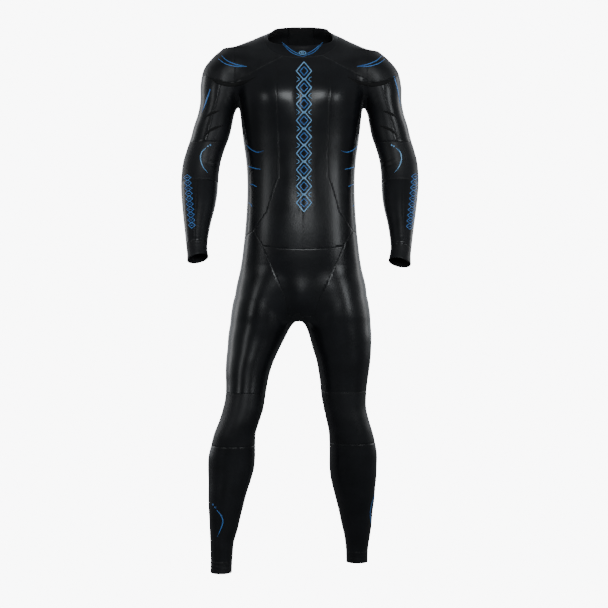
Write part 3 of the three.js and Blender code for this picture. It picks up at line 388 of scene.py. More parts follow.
# ---------- cutting the skin along seam lines ----------
def edges_of(triangles):
    return np.concatenate([triangles[:, [0, 1]], triangles[:, [1, 2]], triangles[:, [2, 0]]])


class Skin:
    """A triangle skin whose triangles belong to numbered regions."""

    def __init__(self, points, triangles):
        self.points, self.triangles = points, triangles
        self.region = np.zeros(len(triangles), int)
        self.fixed = np.zeros(len(points), bool)
        self.last = 0

    def new_region(self):
        self.last += 1
        return self.last

    def pull_onto(self, seam, near):
        """Moves points along the skin onto a seam, where that is possible."""
        start = self.points[near]
        q, fine = start.copy(), np.ones(len(near), bool)
        for _ in range(3):
            n = normals_at(q)
            g = slope_of(seam, q, 0.5)
            flat = g - (g * n).sum(1, keepdims=True) * n
            size = (flat * flat).sum(1)
            fine &= size > 0.04
            q = onto_body(q - (seam(*q.T) / np.maximum(size, 0.04))[:, None] * flat, 1)
        fine &= np.linalg.norm(q - start, axis=1) < 2.2 * SNAP
        self.points[near[fine]] = q[fine]
        self.fixed[near[fine]] = True
        return near[fine]

    def cut(self, region, seam):
        """Splits a region along seam = 0 and returns the numbers of its lower and upper side."""
        mine = self.region == region
        used = np.unique(self.triangles[mine])
        level = np.zeros(len(self.points))
        level[used] = seam(*self.points[used].T)
        close = used[np.abs(level[used]) < SNAP]
        level[close[self.fixed[close] & (np.abs(level[close]) < 0.12 * CELL)]] = 0
        level[self.pull_onto(seam, close[~self.fixed[close]])] = 0
        count = len(self.points)
        edges = edges_of(self.triangles[mine])
        crossed = level[edges[:, 0]] * level[edges[:, 1]] < 0
        keys = np.unique(edges[crossed].min(1) * count + edges[crossed].max(1))
        a, b = keys // count, keys % count
        t = np.clip(level[a] / (level[a] - level[b]), 0.04, 0.96)[:, None]
        if len(keys):
            middle = onto_body(mix(self.points[a], self.points[b], t), 1)
            self.points = np.concatenate([self.points, middle])
            self.fixed = np.concatenate([self.fixed, np.ones(len(keys), bool)])
            level = np.concatenate([level, np.zeros(len(keys))])
            self.split_edges(keys, count)
        mine = self.region == region
        below, above = self.new_region(), self.new_region()
        tri = self.triangles[mine]
        total = level[tri].sum(1)
        flat = np.all(level[tri] == 0, axis=1)
        if flat.any():
            total[flat] = seam(*self.points[tri[flat]].mean(1).T)
        self.region[mine] = np.where(total < 0, below, above)
        return below, above

    def split_edges(self, keys, count):
        """Puts point count + i on edge keys[i], in every triangle with one or two such edges."""
        tri = self.triangles
        marks = []
        for i in range(3):
            a, b = tri[:, i], tri[:, (i + 1) % 3]
            key = np.minimum(a, b) * count + np.maximum(a, b)
            found = np.minimum(np.searchsorted(keys, key), len(keys) - 1)
            marks.append(np.where(keys[found] == key, count + found, -1))
        marks = np.stack(marks, 1)
        number = (marks >= 0).sum(1)
        done, regions = [tri[number == 0]], [self.region[number == 0]]

        def turned(rows, first):
            """Corners and marks of these triangles, turned so that corner number first comes first."""
            order = (first[:, None] + np.arange(3)) % 3
            return np.take_along_axis(tri[rows], order, 1).T, np.take_along_axis(marks[rows], order, 1).T

        def keep(rows, *pieces):
            for piece in pieces:
                done.append(np.stack(piece, 1))
                regions.append(self.region[rows])

        rows = np.nonzero(number == 1)[0]
        (a, b, c), (m, _, _) = turned(rows, np.argmax(marks[rows] >= 0, axis=1))
        keep(rows, (a, m, c), (m, b, c))
        rows = np.nonzero(number == 2)[0]
        (a, b, c), (m, _, n) = turned(rows, (np.argmax(marks[rows] < 0, axis=1) + 2) % 3)
        keep(rows, (a, m, n), (m, b, c), (m, c, n))
        self.triangles, self.region = np.concatenate(done), np.concatenate(regions)

    def patch(self, region):
        return self.triangles[self.region == region]


def clipped(skin, region, *seams):
    """A separate skin: the part of a region that lies below all of these seams."""
    piece = Skin(skin.points.copy(), skin.patch(region))
    piece.fixed[:] = False
    kept = 0
    for seam in seams:
        kept, _ = piece.cut(kept, seam)
    return piece, kept


# ---------- seam lines ----------
def profile(*points):
    at, value = np.array(points, float).T
    return lambda v: np.interp(v, at, value)


neck_rim = make_curve(NECK_RIM, 1)


def neck_opening(x, y, z):
    return z - neck_rim(y)


def collar_edge(x, y, z):
    outward = (np.hypot((x - NECK_AT[0]) / NECK_HALF[0], (y - NECK_AT[1]) / NECK_HALF[1]) - 1) * 70
    return COLLAR_WIDTH - np.hypot(np.maximum(outward, 0), neck_opening(x, y, z))


front_waist = profile((0, 190), (60, 192), (105, 199), (131, 238), (150, 226))
back_waist = profile((0, 214), (90, 222), (150, 226))
centre_half = profile((222, 150), (238, 131), (260, 116), (290, 94), (351, 76), (378, 65), (452, 65),
                      (553, 68), (720, 69))
pelvis_half = profile((15, 34), (31, 37), (65, 46), (199, 108))
inseam_swing = profile((-330, 0.1), (-208, 0.42), (-123, 0.32), (-60, 0.1), (0, 0), (226, 0))
cap_edge = profile((174, 628), (193, 624), (222, 634), (252, 645), (275, 650))


def waist_seam(x, y, z):
    return z - mix(front_waist(np.abs(x - FRONT_CENTRE)), back_waist(np.abs(x)), smoothstep(y, -40, 40))


def yoke_seam(x, y, z):
    front = 690 - 0.55 * (np.abs(x - FRONT_CENTRE) - 62)
    back = 660 - 0.3 * (np.abs(x) - 62)
    return z - mix(front, back, smoothstep(y, -10, 30))


def centre_seam(x, y, z):
    return np.abs(x - FRONT_CENTRE) - centre_half(z)


def pelvis_seam(x, y, z):
    side = np.abs(x - FRONT_CENTRE * smoothstep(z, 0, 100)) - pelvis_half(z)
    return np.maximum(np.maximum(side, 14 - z), y - 6)


def crotch_seam(x, y, z):
    return np.maximum((np.hypot((x + 8) / 34, (y - 4) / 74) - 1) * 34, z - 60)


def leg_split(x, y, z):
    return x + 8 * (1 - np.clip(z / 200, 0, 1))


def seat_fold(x, y, z):
    return z - (12 + 0.12 * (np.abs(x) - 80))


def leg_seam(leg, side):
    def seam(x, y, z):
        middle = np.where(z > 0, mix(leg.cy(z), 6, np.clip(z / 226, 0, 1)), leg.cy(z))
        tilt = inseam_swing(z)
        return (y - middle - tilt * side * (x - leg.cx(np.minimum(z, 60)))) / np.hypot(1, tilt)

    return seam


def above(height):
    return lambda x, y, z: z - height


def within_x(low, high):
    return (lambda x, y, z: x - high), (lambda x, y, z: low - x)


def back_only(x, y, z):
    return 8 - y


def arm_tilted(height, slope_y, slope_x):
    cx, cy = float(arm.cx(height)), float(arm.cy(height))

    def seam(x, y, z):
        out = np.abs(x) - cx - arm_lean(x, height)
        return (z - height + slope_y * (y - cy) + slope_x * out) / math.hypot(1, slope_y)

    return seam


def sleeve_seam(x, y, z):
    return np.abs(x) - arm.cx(z) - arm_lean(x, z) - 4


def cap_seam(x, y, z):
    return z - cap_edge(np.abs(x))


# ---------- the panels ----------
def cut_panels(skin):
    """The region of every panel, and the patches of the zip's underflap and of the collar flap."""
    panels = {}
    rest, _ = skin.cut(0, neck_opening)
    sleeves = {}
    for name, side in SIDES:
        split = lambda x, y, z, s=side: np.minimum(s * x - ARMHOLE_X, z - ARMS_ABOVE)
        rest, sleeves[name] = skin.cut(rest, split)
    lower, upper = skin.cut(rest, waist_seam)
    under = clipped(skin, upper, back_only, *within_x(-UNDERFLAP_HALF, UNDERFLAP_HALF),
                    lambda x, y, z: UNDERFLAP_LOW - z, lambda x, y, z: neck_opening(x, y, z) + 1)
    tab = clipped(skin, upper, back_only, *within_x(*FLAP_X), lambda x, y, z: neck_opening(x, y, z) + 0.5,
                  lambda x, y, z: -FLAP_WIDTH - neck_opening(x, y, z))

    def halves(region):
        right, left = skin.cut(region, lambda x, y, z: x)
        return ("left", 1, left), ("right", -1, right)

    def beside_zip(region, name):
        """Both halves of a back panel, without the slot in which the zip lies."""
        for side_name, side, half in halves(region):
            panels[f"{name}_{side_name}"], _ = skin.cut(half, lambda x, y, z, s=side: ZIP_SLOT - s * x)

    below_collar, collar = skin.cut(upper, collar_edge)
    panels["collar_front"], collar_back = skin.cut(collar, lambda x, y, z: y - 6)
    beside_zip(collar_back, "collar_back")
    trunk_skin, yoke = skin.cut(below_collar, yoke_seam)
    beside_zip(yoke, "shoulder_panel")
    front_skin, not_front = skin.cut(trunk_skin, lambda x, y, z: y - SIDE_FRONT_Y)
    flanks, back_skin = skin.cut(not_front, lambda x, y, z: y - SIDE_BACK_Y)
    panels["front_centre_panel"], chest_sides = skin.cut(front_skin, centre_seam)
    panels["lumbar_panel"], upper_back = skin.cut(back_skin, above(ZIP_BOTTOM))
    beside_zip(upper_back, "upper_back_panel")
    for name, _, region in halves(chest_sides):
        panels[f"chest_side_panel_{name}"] = region
    for name, _, region in halves(flanks):
        panels[f"flank_panel_{name}"], panels[f"underarm_gusset_{name}"] = skin.cut(region, above(GUSSET_Z))

    panels["crotch_gusset"], hips = skin.cut(lower, crotch_seam)
    panels["front_pelvis_panel"], leg_skins = skin.cut(hips, pelvis_seam)
    right, left = skin.cut(leg_skins, leg_split)
    for name, side, leg, tube in (("left", 1, left, left_leg), ("right", -1, right, right_leg)):
        shin, thigh = skin.cut(leg, above(KNEE_Z - KNEE_HALF))
        panels[f"knee_panel_{name}"], upper_leg = skin.cut(thigh, above(KNEE_Z + KNEE_HALF))
        panels[f"thigh_front_panel_{name}"], thigh_back = skin.cut(upper_leg, leg_seam(tube, side))
        panels[f"thigh_back_panel_{name}"], panels[f"seat_panel_{name}"] = skin.cut(thigh_back, seat_fold)
        _, shin_open = skin.cut(shin, above(ANKLE_Z))
        panels[f"ankle_cuff_{name}"], lower = skin.cut(shin_open, above(ANKLE_Z + ANKLE_WIDTH))
        panels[f"shin_panel_{name}"], panels[f"calf_panel_{name}"] = skin.cut(lower, leg_seam(tube, side))
    for name, _ in SIDES:
        cuff_z = CUFF_Z - CUFF_DROP[name]
        _, sleeve_open = skin.cut(sleeves[name], arm_tilted(cuff_z, CUFF_SLOPE_Y, CUFF_SLOPE_X))
        cuff_top = arm_tilted(cuff_z + CUFF_WIDTH, CUFF_SLOPE_Y, 0.1)
        panels[f"wrist_cuff_{name}"], sleeve = skin.cut(sleeve_open, cuff_top)
        forearm, uppers = skin.cut(sleeve, arm_tilted(ELBOW_Z - ELBOW_HALF, 0.3, 0))
        panels[f"elbow_panel_{name}"], upper_arm = skin.cut(uppers, above(ELBOW_Z + ELBOW_HALF))
        inner_outer = (f"forearm_{part}_panel_{name}" for part in ("inner", "outer"))
        panels.update(zip(inner_outer, skin.cut(forearm, sleeve_seam)))
        arm_skin, panels[f"shoulder_cap_{name}"] = skin.cut(upper_arm, cap_seam)
        inner_outer = (f"upper_sleeve_{part}_{name}" for part in ("inner", "outer"))
        panels.update(zip(inner_outer, skin.cut(arm_skin, sleeve_seam)))
    return panels, under, tab


# ---------- materials ----------
def new_material(name, color, roughness, **inputs):
    material = bpy.data.materials.new(name)
    material.use_nodes = True
    shader = material.node_tree.nodes["Principled BSDF"]
    shader.inputs["Base Color"].default_value = (*color, 1)
    shader.inputs["Roughness"].default_value = roughness
    for key, value in inputs.items():
        shader.inputs[key.replace("_", " ")].default_value = value
    return material, material.node_tree, shader


def link(tree, a, b):
    tree.links.new(a, b)


def node(tree, kind, **settings):
    made = tree.nodes.new("ShaderNode" + kind)
    for key, value in settings.items():
        if key in made.inputs:
            made.inputs[key].default_value = value
        else:
            setattr(made, key, value)
    return made


def texture(tree, kind, stretch=(1, 1, 1), output="Fac", **settings):
    """The value of a texture in the piece's own coordinates."""
    mapping = node(tree, "Mapping", Scale=stretch)
    link(tree, node(tree, "TexCoord").outputs["Object"], mapping.inputs["Vector"])
    made = node(tree, "Tex" + kind, **settings)
    link(tree, mapping.outputs["Vector"], made.inputs["Vector"])
    return made.outputs[output]


def ranged(tree, value, low, high, source=(0.3, 0.7)):
    """Maps a texture's value onto a range."""
    found = node(tree, "MapRange")
    found.inputs["From Min"].default_value, found.inputs["From Max"].default_value = source
    found.inputs["To Min"].default_value, found.inputs["To Max"].default_value = low, high
    link(tree, value, found.inputs["Value"])
    return found.outputs["Result"]


def add_bump(tree, shader, layers):
    """Stacks bump layers, each a (height value, strength, distance in metres)."""
    normal = None
    for height, strength, distance in layers:
        bump = node(tree, "Bump", Strength=strength, Distance=distance)
        link(tree, height, bump.inputs["Height"])
        if normal is not None:
            link(tree, normal, bump.inputs["Normal"])
        normal = bump.outputs["Normal"]
    link(tree, normal, shader.inputs["Normal"])


def color_by(tree, shader, value, dark, light):
    ramp = node(tree, "ValToRGB")
    ramp.color_ramp.elements[0].color = (*dark, 1)
    ramp.color_ramp.elements[1].color = (*light, 1)
    ramp.color_ramp.elements[0].position = 0.35
    ramp.color_ramp.elements[1].position = 0.65
    link(tree, value, ramp.inputs["Fac"])
    link(tree, ramp.outputs["Color"], shader.inputs["Base Color"])


def roughness_by(tree, shader, value, low, high):
    link(tree, ranged(tree, value, low, high), shader.inputs["Roughness"])


def show_or_light(tree, shown, lighting, output):
    """Shows one shader to the camera and lets the other one light the scene."""
    mixed = node(tree, "MixShader")
    link(tree, node(tree, "LightPath").outputs["Is Camera Ray"], mixed.inputs[0])
    link(tree, lighting.outputs[0], mixed.inputs[1])
    link(tree, shown.outputs[0], mixed.inputs[2])
    link(tree, mixed.outputs["Shader"], output.inputs["Surface"])


def smooth_rubber():
    material, tree, shader = new_material("smooth_rubber", (0.007, 0.0075, 0.009), 0.3,
                                          Specular_IOR_Level=0.42, Coat_Weight=0.12, Coat_Roughness=0.16)
    clouds = texture(tree, "Noise", Scale=22, Detail=4)
    color_by(tree, shader, clouds, (0.0058, 0.0062, 0.0076), (0.0092, 0.0098, 0.012))
    scuffs = texture(tree, "Noise", Scale=9, Detail=8, Roughness=0.62)
    roughness_by(tree, shader, scuffs, 0.27, 0.38)
    pores = texture(tree, "Noise", Scale=1500, Detail=2)
    ripple = texture(tree, "Noise", Scale=75, Detail=2)
    add_bump(tree, shader, [(ripple, 0.10, 0.0012), (pores, 0.10, 0.0002)])
    return material


def matt_rubber():
    material, tree, shader = new_material("matt_rubber", (0.008, 0.0082, 0.0095), 0.46,
                                          Specular_IOR_Level=0.4)
    clouds = texture(tree, "Noise", Scale=30, Detail=4)
    color_by(tree, shader, clouds, (0.0068, 0.007, 0.0084), (0.0105, 0.011, 0.0128))
    roughness_by(tree, shader, clouds, 0.42, 0.54)
    cells = texture(tree, "Voronoi", output="Distance", Scale=620, feature="F1")
    add_bump(tree, shader, [(cells, 0.22, 0.0004)])
    return material


def knit_loops(tree):
    return texture(tree, "Voronoi", (900, 900, 520), "Distance", Scale=1, feature="F1")


def knit(name="knit_rubber", dark=(0.0075, 0.0078, 0.0092), light=(0.0125, 0.013, 0.0155)):
    material, tree, shader = new_material(name, dark, 0.68, Specular_IOR_Level=0.3, Sheen_Weight=0.10,
                                          Sheen_Roughness=0.4)
    loops = knit_loops(tree)
    color_by(tree, shader, loops, light, dark)
    roughness_by(tree, shader, texture(tree, "Noise", Scale=40, Detail=3), 0.6, 0.76)
    add_bump(tree, shader, [(loops, 0.45, 0.0004)])
    return material


def stretch_rubber():
    material, tree, shader = new_material("stretch_rubber", (0.0075, 0.0078, 0.0092), 0.4,
                                          Specular_IOR_Level=0.4)
    clouds = texture(tree, "Noise", Scale=20, Detail=4)
    color_by(tree, shader, clouds, (0.0062, 0.0066, 0.008), (0.0095, 0.01, 0.0122))
    roughness_by(tree, shader, clouds, 0.42, 0.52)
    add_bump(tree, shader, [(knit_loops(tree), 0.12, 0.0002)])
    return material


def webbing():
    material, tree, shader = new_material("webbing", (0.012, 0.012, 0.014), 0.8, Specular_IOR_Level=0.25,
                                          Sheen_Weight=0.1)
    both = node(tree, "Math", operation="MULTIPLY")
    for i, (direction, scale) in enumerate((("X", 520), ("Z", 300))):
        link(tree, texture(tree, "Wave", Scale=scale, bands_direction=direction), both.inputs[i])
    weave = both.outputs["Value"]
    color_by(tree, shader, weave, (0.009, 0.009, 0.011), (0.02, 0.02, 0.023))
    add_bump(tree, shader, [(weave, 0.5, 0.0005)])
    return material


def moulded(name, dark, light, roughness):
    material, tree, shader = new_material(name, dark, roughness, Specular_IOR_Level=0.45)
    grain = texture(tree, "Noise", Scale=420, Detail=4)
    color_by(tree, shader, grain, dark, light)
    roughness_by(tree, shader, grain, roughness - 0.06, roughness + 0.08)
    add_bump(tree, shader, [(grain, 0.12, 0.0002)])
    return material


def metal():
    material, tree, shader = new_material("zip_metal", (0.44, 0.45, 0.47), 0.3, Metallic=1.0)
    brush = texture(tree, "Noise", (2400, 300, 300), Scale=1, Detail=5)
    color_by(tree, shader, brush, (0.34, 0.35, 0.37), (0.52, 0.53, 0.55))
    roughness_by(tree, shader, brush, 0.24, 0.42)
    add_bump(tree, shader, [(brush, 0.1, 0.0001)])
    return material


def ink(name, dark, light):
    material, tree, shader = new_material(name, dark, 0.36, Specular_IOR_Level=0.45)
    color_by(tree, shader, texture(tree, "Noise", Scale=26, Detail=3), dark, light)
    add_bump(tree, shader, [(texture(tree, "Noise", Scale=1300, Detail=2), 0.12, 0.0001)])
    return material


def floor_paint():
    """Pale to the eye, but dim in what it throws back onto the suit."""
    material, tree, shader = new_material("floor", (0.16, 0.162, 0.165), 0.8, Specular_IOR_Level=0.1)
    clouds = texture(tree, "Noise", Scale=1.4, Detail=3)
    color_by(tree, shader, clouds, (0.155, 0.157, 0.16), (0.165, 0.167, 0.17))
    glow = node(tree, "Emission", Color=(*STUDIO_WHITE, 1), Strength=STUDIO_GLOW)
    show_or_light(tree, glow, shader, tree.nodes["Material Output"])
    return material


SMOOTH, MATT, STRETCH = smooth_rubber(), matt_rubber(), stretch_rubber()
KNIT, WEBBING, METAL = knit(), webbing(), metal()
# near-black matt rubber for the raised lines: a darker rubber, darkened further with painted shade that
# stands in for the shadow along the embossing
SHADED_RIDGE_RUBBER = moulded("raised_rubber_painted_shade", (0.0016, 0.0017, 0.0021), (0.0026, 0.0027, 0.0032), 0.8)
LINING = knit("lining", (0.004, 0.0042, 0.005), (0.0085, 0.0088, 0.0105))
NYLON = moulded("nylon", (0.014, 0.014, 0.016), (0.022, 0.022, 0.025), 0.42)
GLUE = moulded("seam_glue", (0.008, 0.0085, 0.01), (0.012, 0.0125, 0.0145), 0.45)
BLUE = ink("print_blue", (0.05, 0.21, 0.62), (0.09, 0.33, 0.80))
PALE_BLUE = ink("print_pale_blue", (0.16, 0.46, 0.86), (0.30, 0.62, 0.95))
SLOT_OF = {SMOOTH: "smooth_rubber", STRETCH: "knit_rubber", MATT: "matt_rubber", KNIT: "knit_rubber",
           WEBBING: "webbing", NYLON: "nylon", METAL: "steel"}


# ---------- making pieces ----------
def add_object(name, data):
    made = bpy.data.objects.new(name, data)
    bpy.context.scene.collection.objects.link(made)
    return made


def make_object(name, points, triangles, materials, face_material=None, normals=None):
    """points in millimetres"""
    mesh = bpy.data.meshes.new(name)
    mesh.vertices.add(len(points))
    mesh.vertices.foreach_set("co", (points * MM).astype(np.float32).ravel())
    mesh.loops.add(triangles.size)
    mesh.loops.foreach_set("vertex_index", triangles.astype(np.int32).ravel())
    mesh.polygons.add(len(triangles))
    mesh.polygons.foreach_set("loop_start", np.arange(0, triangles.size, 3, dtype=np.int32))
    mesh.polygons.foreach_set("loop_total", np.full(len(triangles), 3, np.int32))
    mesh.update(calc_edges=True)
    mesh.validate()
    for material in materials:
        mesh.materials.append(material)
    mesh.polygons.foreach_set("use_smooth", np.ones(len(mesh.polygons), bool))
    if face_material is not None:
        mesh.polygons.foreach_set("material_index", face_material.astype(np.int32))
    if normals is not None:
        mesh.normals_split_custom_set_from_vertices(normals)
    mesh.update()
    return add_object(name, mesh)


def border_of(triangles):
    """The directed border edges of a patch."""
    edges = edges_of(triangles)
    count = triangles.max() + 1
    forward = edges[:, 0] * count + edges[:, 1]
    backward = edges[:, 1] * count + edges[:, 0]
    return edges[~np.isin(forward, backward)]


# the rounded rim of a panel: (distance in from the seam, depth, how far the shading leans outwards)
RIM = ((0.0, 0.25, 0.3), (-0.2, 0.9, 1.4), (-0.22, 2.0, 6.0))
RIM_INSET = 0.24  # how much further in than the gap the rounding starts


def panel_object(name, points, triangles, materials, outer=0.0, thickness=SKIN, inset=SEAM_HALF):
    """A patch of the skin as one closed rubber panel with rounded rims."""
    used, compact = np.unique(triangles, return_inverse=True)
    tri = compact.reshape(-1, 3)
    p = points[used]
    n = normals_at(p)
    edges = border_of(tri)
    rim = np.unique(edges)
    into, out = np.zeros_like(p), np.zeros_like(p)
    run = unit(p[edges[:, 1]] - p[edges[:, 0]])
    out[edges[:, 0]] = run
    into[edges[:, 1]] = run
    side = unit(np.cross(n[rim], unit(into[rim] + out[rim])))
    square = unit(np.cross(n[rim], into[rim]))
    mitre = np.maximum((square * side).sum(1), 0.5)[:, None]
    rings, leans = [], []
    for out_by, depth, lean in RIM:
        rings.append(p[rim] + side / mitre * (inset + RIM_INSET + out_by) + (outer - depth) * n[rim])
        leans.append(unit(n[rim] - lean * side))
    top, top_normals = p + outer * n, n.copy()
    top[rim], top_normals[rim] = rings[0], leans[0]
    layers, normals = [top, *rings[1:]], [top_normals, *leans[1:]]
    below = p + (outer - thickness) * n
    below[rim] += side / mitre * (inset + 0.1)
    layers.append(below)
    normals.append(-n)
    # each border edge's point numbers in every layer, from the outside in
    in_rim = np.searchsorted(rim, edges.T)
    numbers = [edges.T] + [len(p) + i * len(rim) + in_rim for i in range(len(RIM) - 1)]
    first = len(p) + (len(RIM) - 1) * len(rim)
    numbers.append(first + edges.T)
    faces = [tri, tri[:, ::-1] + first]
    kinds = [np.zeros(len(tri)), np.ones(len(tri))]
    for i, ((a, b), (lower_a, lower_b)) in enumerate(zip(numbers, numbers[1:])):
        faces += [np.stack([b, a, lower_a], 1), np.stack([b, lower_a, lower_b], 1)]
        kinds += [np.full(2 * len(edges), float(i == len(RIM) - 1))]
    return make_object(name, np.concatenate(layers), np.concatenate(faces), materials,
                       np.concatenate(kinds), normals=np.concatenate(normals))


# where the rubber starts and stops bending, in metres
ELBOW_BLEND = {name: ((side * 0.25, 0, 0.462), (side * 0.25, 0, 0.380)) for name, side in SIDES}


def place(piece, where, slot, node_name=None):
    """Where is a body, or elbow_left and so on for a piece at that joint, which is baked where it stands
    instead of attached to a body.
    """
    joint, _, side = where.rpartition("_")
    if joint == "elbow":
        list(ELBOW_BLEND[side])
        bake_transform(piece)
    elif joint == "knee":
        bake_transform(piece)
    else:
        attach(piece, where)
    if node_name:
        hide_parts(node_name)


def place_of(panel):
    """The body or the joint with which a panel goes."""
    side = panel.rpartition("_")[2]
    if panel.startswith(("forearm", "wrist")):
        return f"forearm_{side}"
    if panel.startswith(("shin", "calf", "ankle")):
        return f"lower_leg_{side}"
    if panel.startswith(("elbow_", "knee_")):
        return f"{panel.split('_')[0]}_{side}"
    return "suit"


def material_of(panel):
    if panel.startswith(("shoulder", "wrist", "ankle")):
        return MATT
    if panel.startswith(("knee", "elbow", "upper_sleeve_inner")):
        return STRETCH
    if panel.startswith(("underarm", "crotch")):
        return KNIT
    return SMOOTH


skin = Skin(*closed_skin())
panels, under_patch, tab_patch = cut_panels(skin)
for panel, region in panels.items():
    material = material_of(panel)
    piece = panel_object(f"{panel}_skin", skin.points, skin.patch(region), [material, LINING])
    place(piece, place_of(panel), SLOT_OF[material], panel)


# ---------- seam glue lines ----------
GLUE_DEPTH, GLUE_RADIUS = 1.05, 0.6


def neighbours(path, closed):
    """The points before and after each point of a path."""
    if closed:
        return np.roll(path, 1, 0), np.roll(path, -1, 0)
    return np.vstack([path[:1], path[:-1]]), np.vstack([path[1:], path[-1:]])


def strip_faces(count, sides, closed):
    """Triangles around a row of rings of points, with flat ends unless it is closed."""
    i = np.arange(count if closed else count - 1)[:, None]
    j = (i + 1) % count
    k = np.arange(sides)[None, :]
    k2 = (k + 1) % sides
    quads = np.stack([i * sides + k, j * sides + k, j * sides + k2, i * sides + k2], -1).reshape(-1, 4)
    faces = [quads[:, [0, 1, 2]], quads[:, [0, 2, 3]]]
    if not closed:
        fan = np.arange(1, sides - 1)
        last = (count - 1) * sides
        faces.append(np.stack([np.zeros_like(fan), fan, fan + 1], 1))
        faces.append(np.stack([np.full_like(fan, last), last + fan + 1, last + fan], 1))
    return np.concatenate(faces)


def tube_mesh(path, radius, normals, closed=False, sides=6):
    """Points and triangles of a tube along a path; normals give its upright."""
    behind, ahead = neighbours(path, closed)
    along = unit(ahead - behind)
    up = unit(normals - (normals * along).sum(1, keepdims=True) * along)
    across = np.cross(along, up)
    turns = 2 * math.pi * (np.arange(sides) + 0.5) / sides
    rings = [path + radius * (math.cos(t) * across + math.sin(t) * up) for t in turns]
    return np.stack(rings, 1).reshape(-1, 3), strip_faces(len(path), sides, closed)


def merged(parts):
    """Joins several (points, triangles) into one."""
    points, triangles, base = [], [], 0
    for p, t in parts:
        points.append(p)
        triangles.append(t + base)
        base += len(p)
    return np.concatenate(points), np.concatenate(triangles)


def chains(edges):
    """Orders undirected edges into paths that end where three or more seams meet."""
    near = {}
    for a, b in edges:
        near.setdefault(int(a), []).append(int(b))
        near.setdefault(int(b), []).append(int(a))
    left = {frozenset((int(a), int(b))) for a, b in edges}
    found = []
    starts = [v for v in near if len(near[v]) != 2] + list(near)
    for start in starts:
        for following in near[start]:
            if frozenset((start, following)) not in left:
                continue
            path = [start, following]
            left.discard(frozenset(path))
            while len(near[path[-1]]) == 2:
                onward = [v for v in near[path[-1]] if frozenset((path[-1], v)) in left]
                if not onward:
                    break
                left.discard(frozenset((path[-1], onward[0])))
                path.append(onward[0])
            found.append(path)
    return found


def seam_lines():
    """Every edge between two panels, sorted by the body that its seam goes with."""
    owner = np.full(skin.last + 1, -1)
    names = list(panels)
    for i, panel in enumerate(names):
        owner[panels[panel]] = i
    edges = np.sort(edges_of(skin.triangles), axis=1)
    who = np.tile(owner[skin.region], 3)
    order = np.lexsort((edges[:, 1], edges[:, 0]))
    edges, who = edges[order], who[order]
    same = np.all(edges[1:] == edges[:-1], axis=1)
    first, second = who[:-1][same], who[1:][same]
    seam = (first != second) & (first >= 0) & (second >= 0)
    lines = {}
    for edge, a, b in zip(edges[:-1][same][seam], first[seam], second[seam]):
        places = {place_of(names[a]), place_of(names[b])}
        rigid = sorted(p for p in places if not p.startswith(("elbow", "knee")) and p != "suit")
        lines.setdefault(rigid[0] if rigid else "suit", []).append(edge)
    return lines


def glue_lines():
    for where, edges in seam_lines().items():
        parts = []
        for path in chains(edges):
            p = skin.points[path]
            closed = path[0] == path[-1]
            if closed:
                p = p[:-1]
            if len(p) < 3:
                continue
            n = normals_at(p)
            parts.append(tube_mesh(p - GLUE_DEPTH * n, GLUE_RADIUS, n, closed))
        place(make_object(f"seam_glue_{where}", *merged(parts), [GLUE]), where, "smooth_rubber")


glue_lines()

# ---------- prints and raised lines on the front ----------
EYE = np.array((8.0, -4600.0, 230.0))


def on_front(x, z):
    """Points of the surface seen from EYE in line with the points (x, 0, z)."""
    through = np.stack([x, np.zeros_like(x), z], 1)
    ray = unit(through - EYE)
    p = through - ray * 210
    best, least = p.copy(), body(*p.T)
    for _ in range(60):
        p = p + ray * np.clip(0.7 * body(*p.T), -2, 40)[:, None]
        level = body(*p.T)
        closer = level < least
        best[closer], least[closer] = p[closer], level[closer]
    return onto_body(best, 4)


def arc_points(points, step=3.0):
    """A smooth line through a few (x, z) points."""
    p = np.array(points, float)
    if len(p) == 2:
        p = np.array([p[0], p.mean(0), p[1]])
    knots = np.concatenate([[0], np.cumsum(np.linalg.norm(np.diff(p, axis=0), axis=1))])
    count = max(int(knots[-1] / step), 3)
    at = np.linspace(0, knots[-1], count + 1)
    columns = [make_curve([(k, value) for k, value in zip(knots, column)], 1)(at) for column in p.T]
    return np.stack(columns, 1)


def stroke(points, width, height=0.3, taper=(1, 1), closed=False):
    """A thin band of print on the front along (x, z) points; taper is its relative width at both ends."""
    line = np.array(points, float)
    centre = on_front(line[:, 0], line[:, 1])
    n = normals_at(centre)
    t = np.linspace(0, 1, len(line))
    ends = np.minimum(mix(taper[0], 1, smoothstep(t, 0, 0.35)), mix(taper[1], 1, smoothstep(1 - t, 0, 0.35)))
    half = width / 2 * (np.ones(len(line)) if closed else ends)
    return band(centre, n, half, height, closed)


def band(centre, n, half, height, closed):
    """A low closed strip that follows the surface: 5 points across, with sloping sides."""
    behind, ahead = neighbours(centre, closed)
    across = unit(np.cross(unit(ahead - behind), n))
    rows = []
    for share, lift in ((-1, -0.25), (-0.75, 1), (0, 1.12), (0.75, 1), (1, -0.25)):
        p = onto_body(centre + across * (share * half)[:, None], 1)
        rows.append(p + n * (height * lift))
    rows.append(onto_body(centre, 1) - n * 0.4)
    return np.stack(rows, 1).reshape(-1, 3), strip_faces(len(centre), len(rows), closed)[:, ::-1]


def polygon_points(corners, step=2.5):
    """Evenly spaced points along a closed outline of (x, z) corners."""
    found = []
    for a, b in zip(corners, corners[1:] + corners[:1]):
        a, b = np.array(a, float), np.array(b, float)
        count = max(int(np.linalg.norm(b - a) / step), 2)
        found += [mix(a, b, i / count) for i in range(count)]
    return np.array(found)


def add_print(name, parts, material, where, slot="smooth_rubber"):
    place(make_object(name, *merged(parts), [material]), where, slot)


def oval(x, z, half_x, half_z, count):
    turns = 2 * math.pi * np.arange(count) / count
    return np.stack([x + half_x * np.cos(turns), z + half_z * np.sin(turns)], 1)


def ring(x, z, half_x, half_z, width, count=20):
    return stroke(oval(x, z, half_x, half_z, count), width, closed=True)


def dot(x, z):
    return ring(x, z, 1.3, 1.3, 2.2, 10)


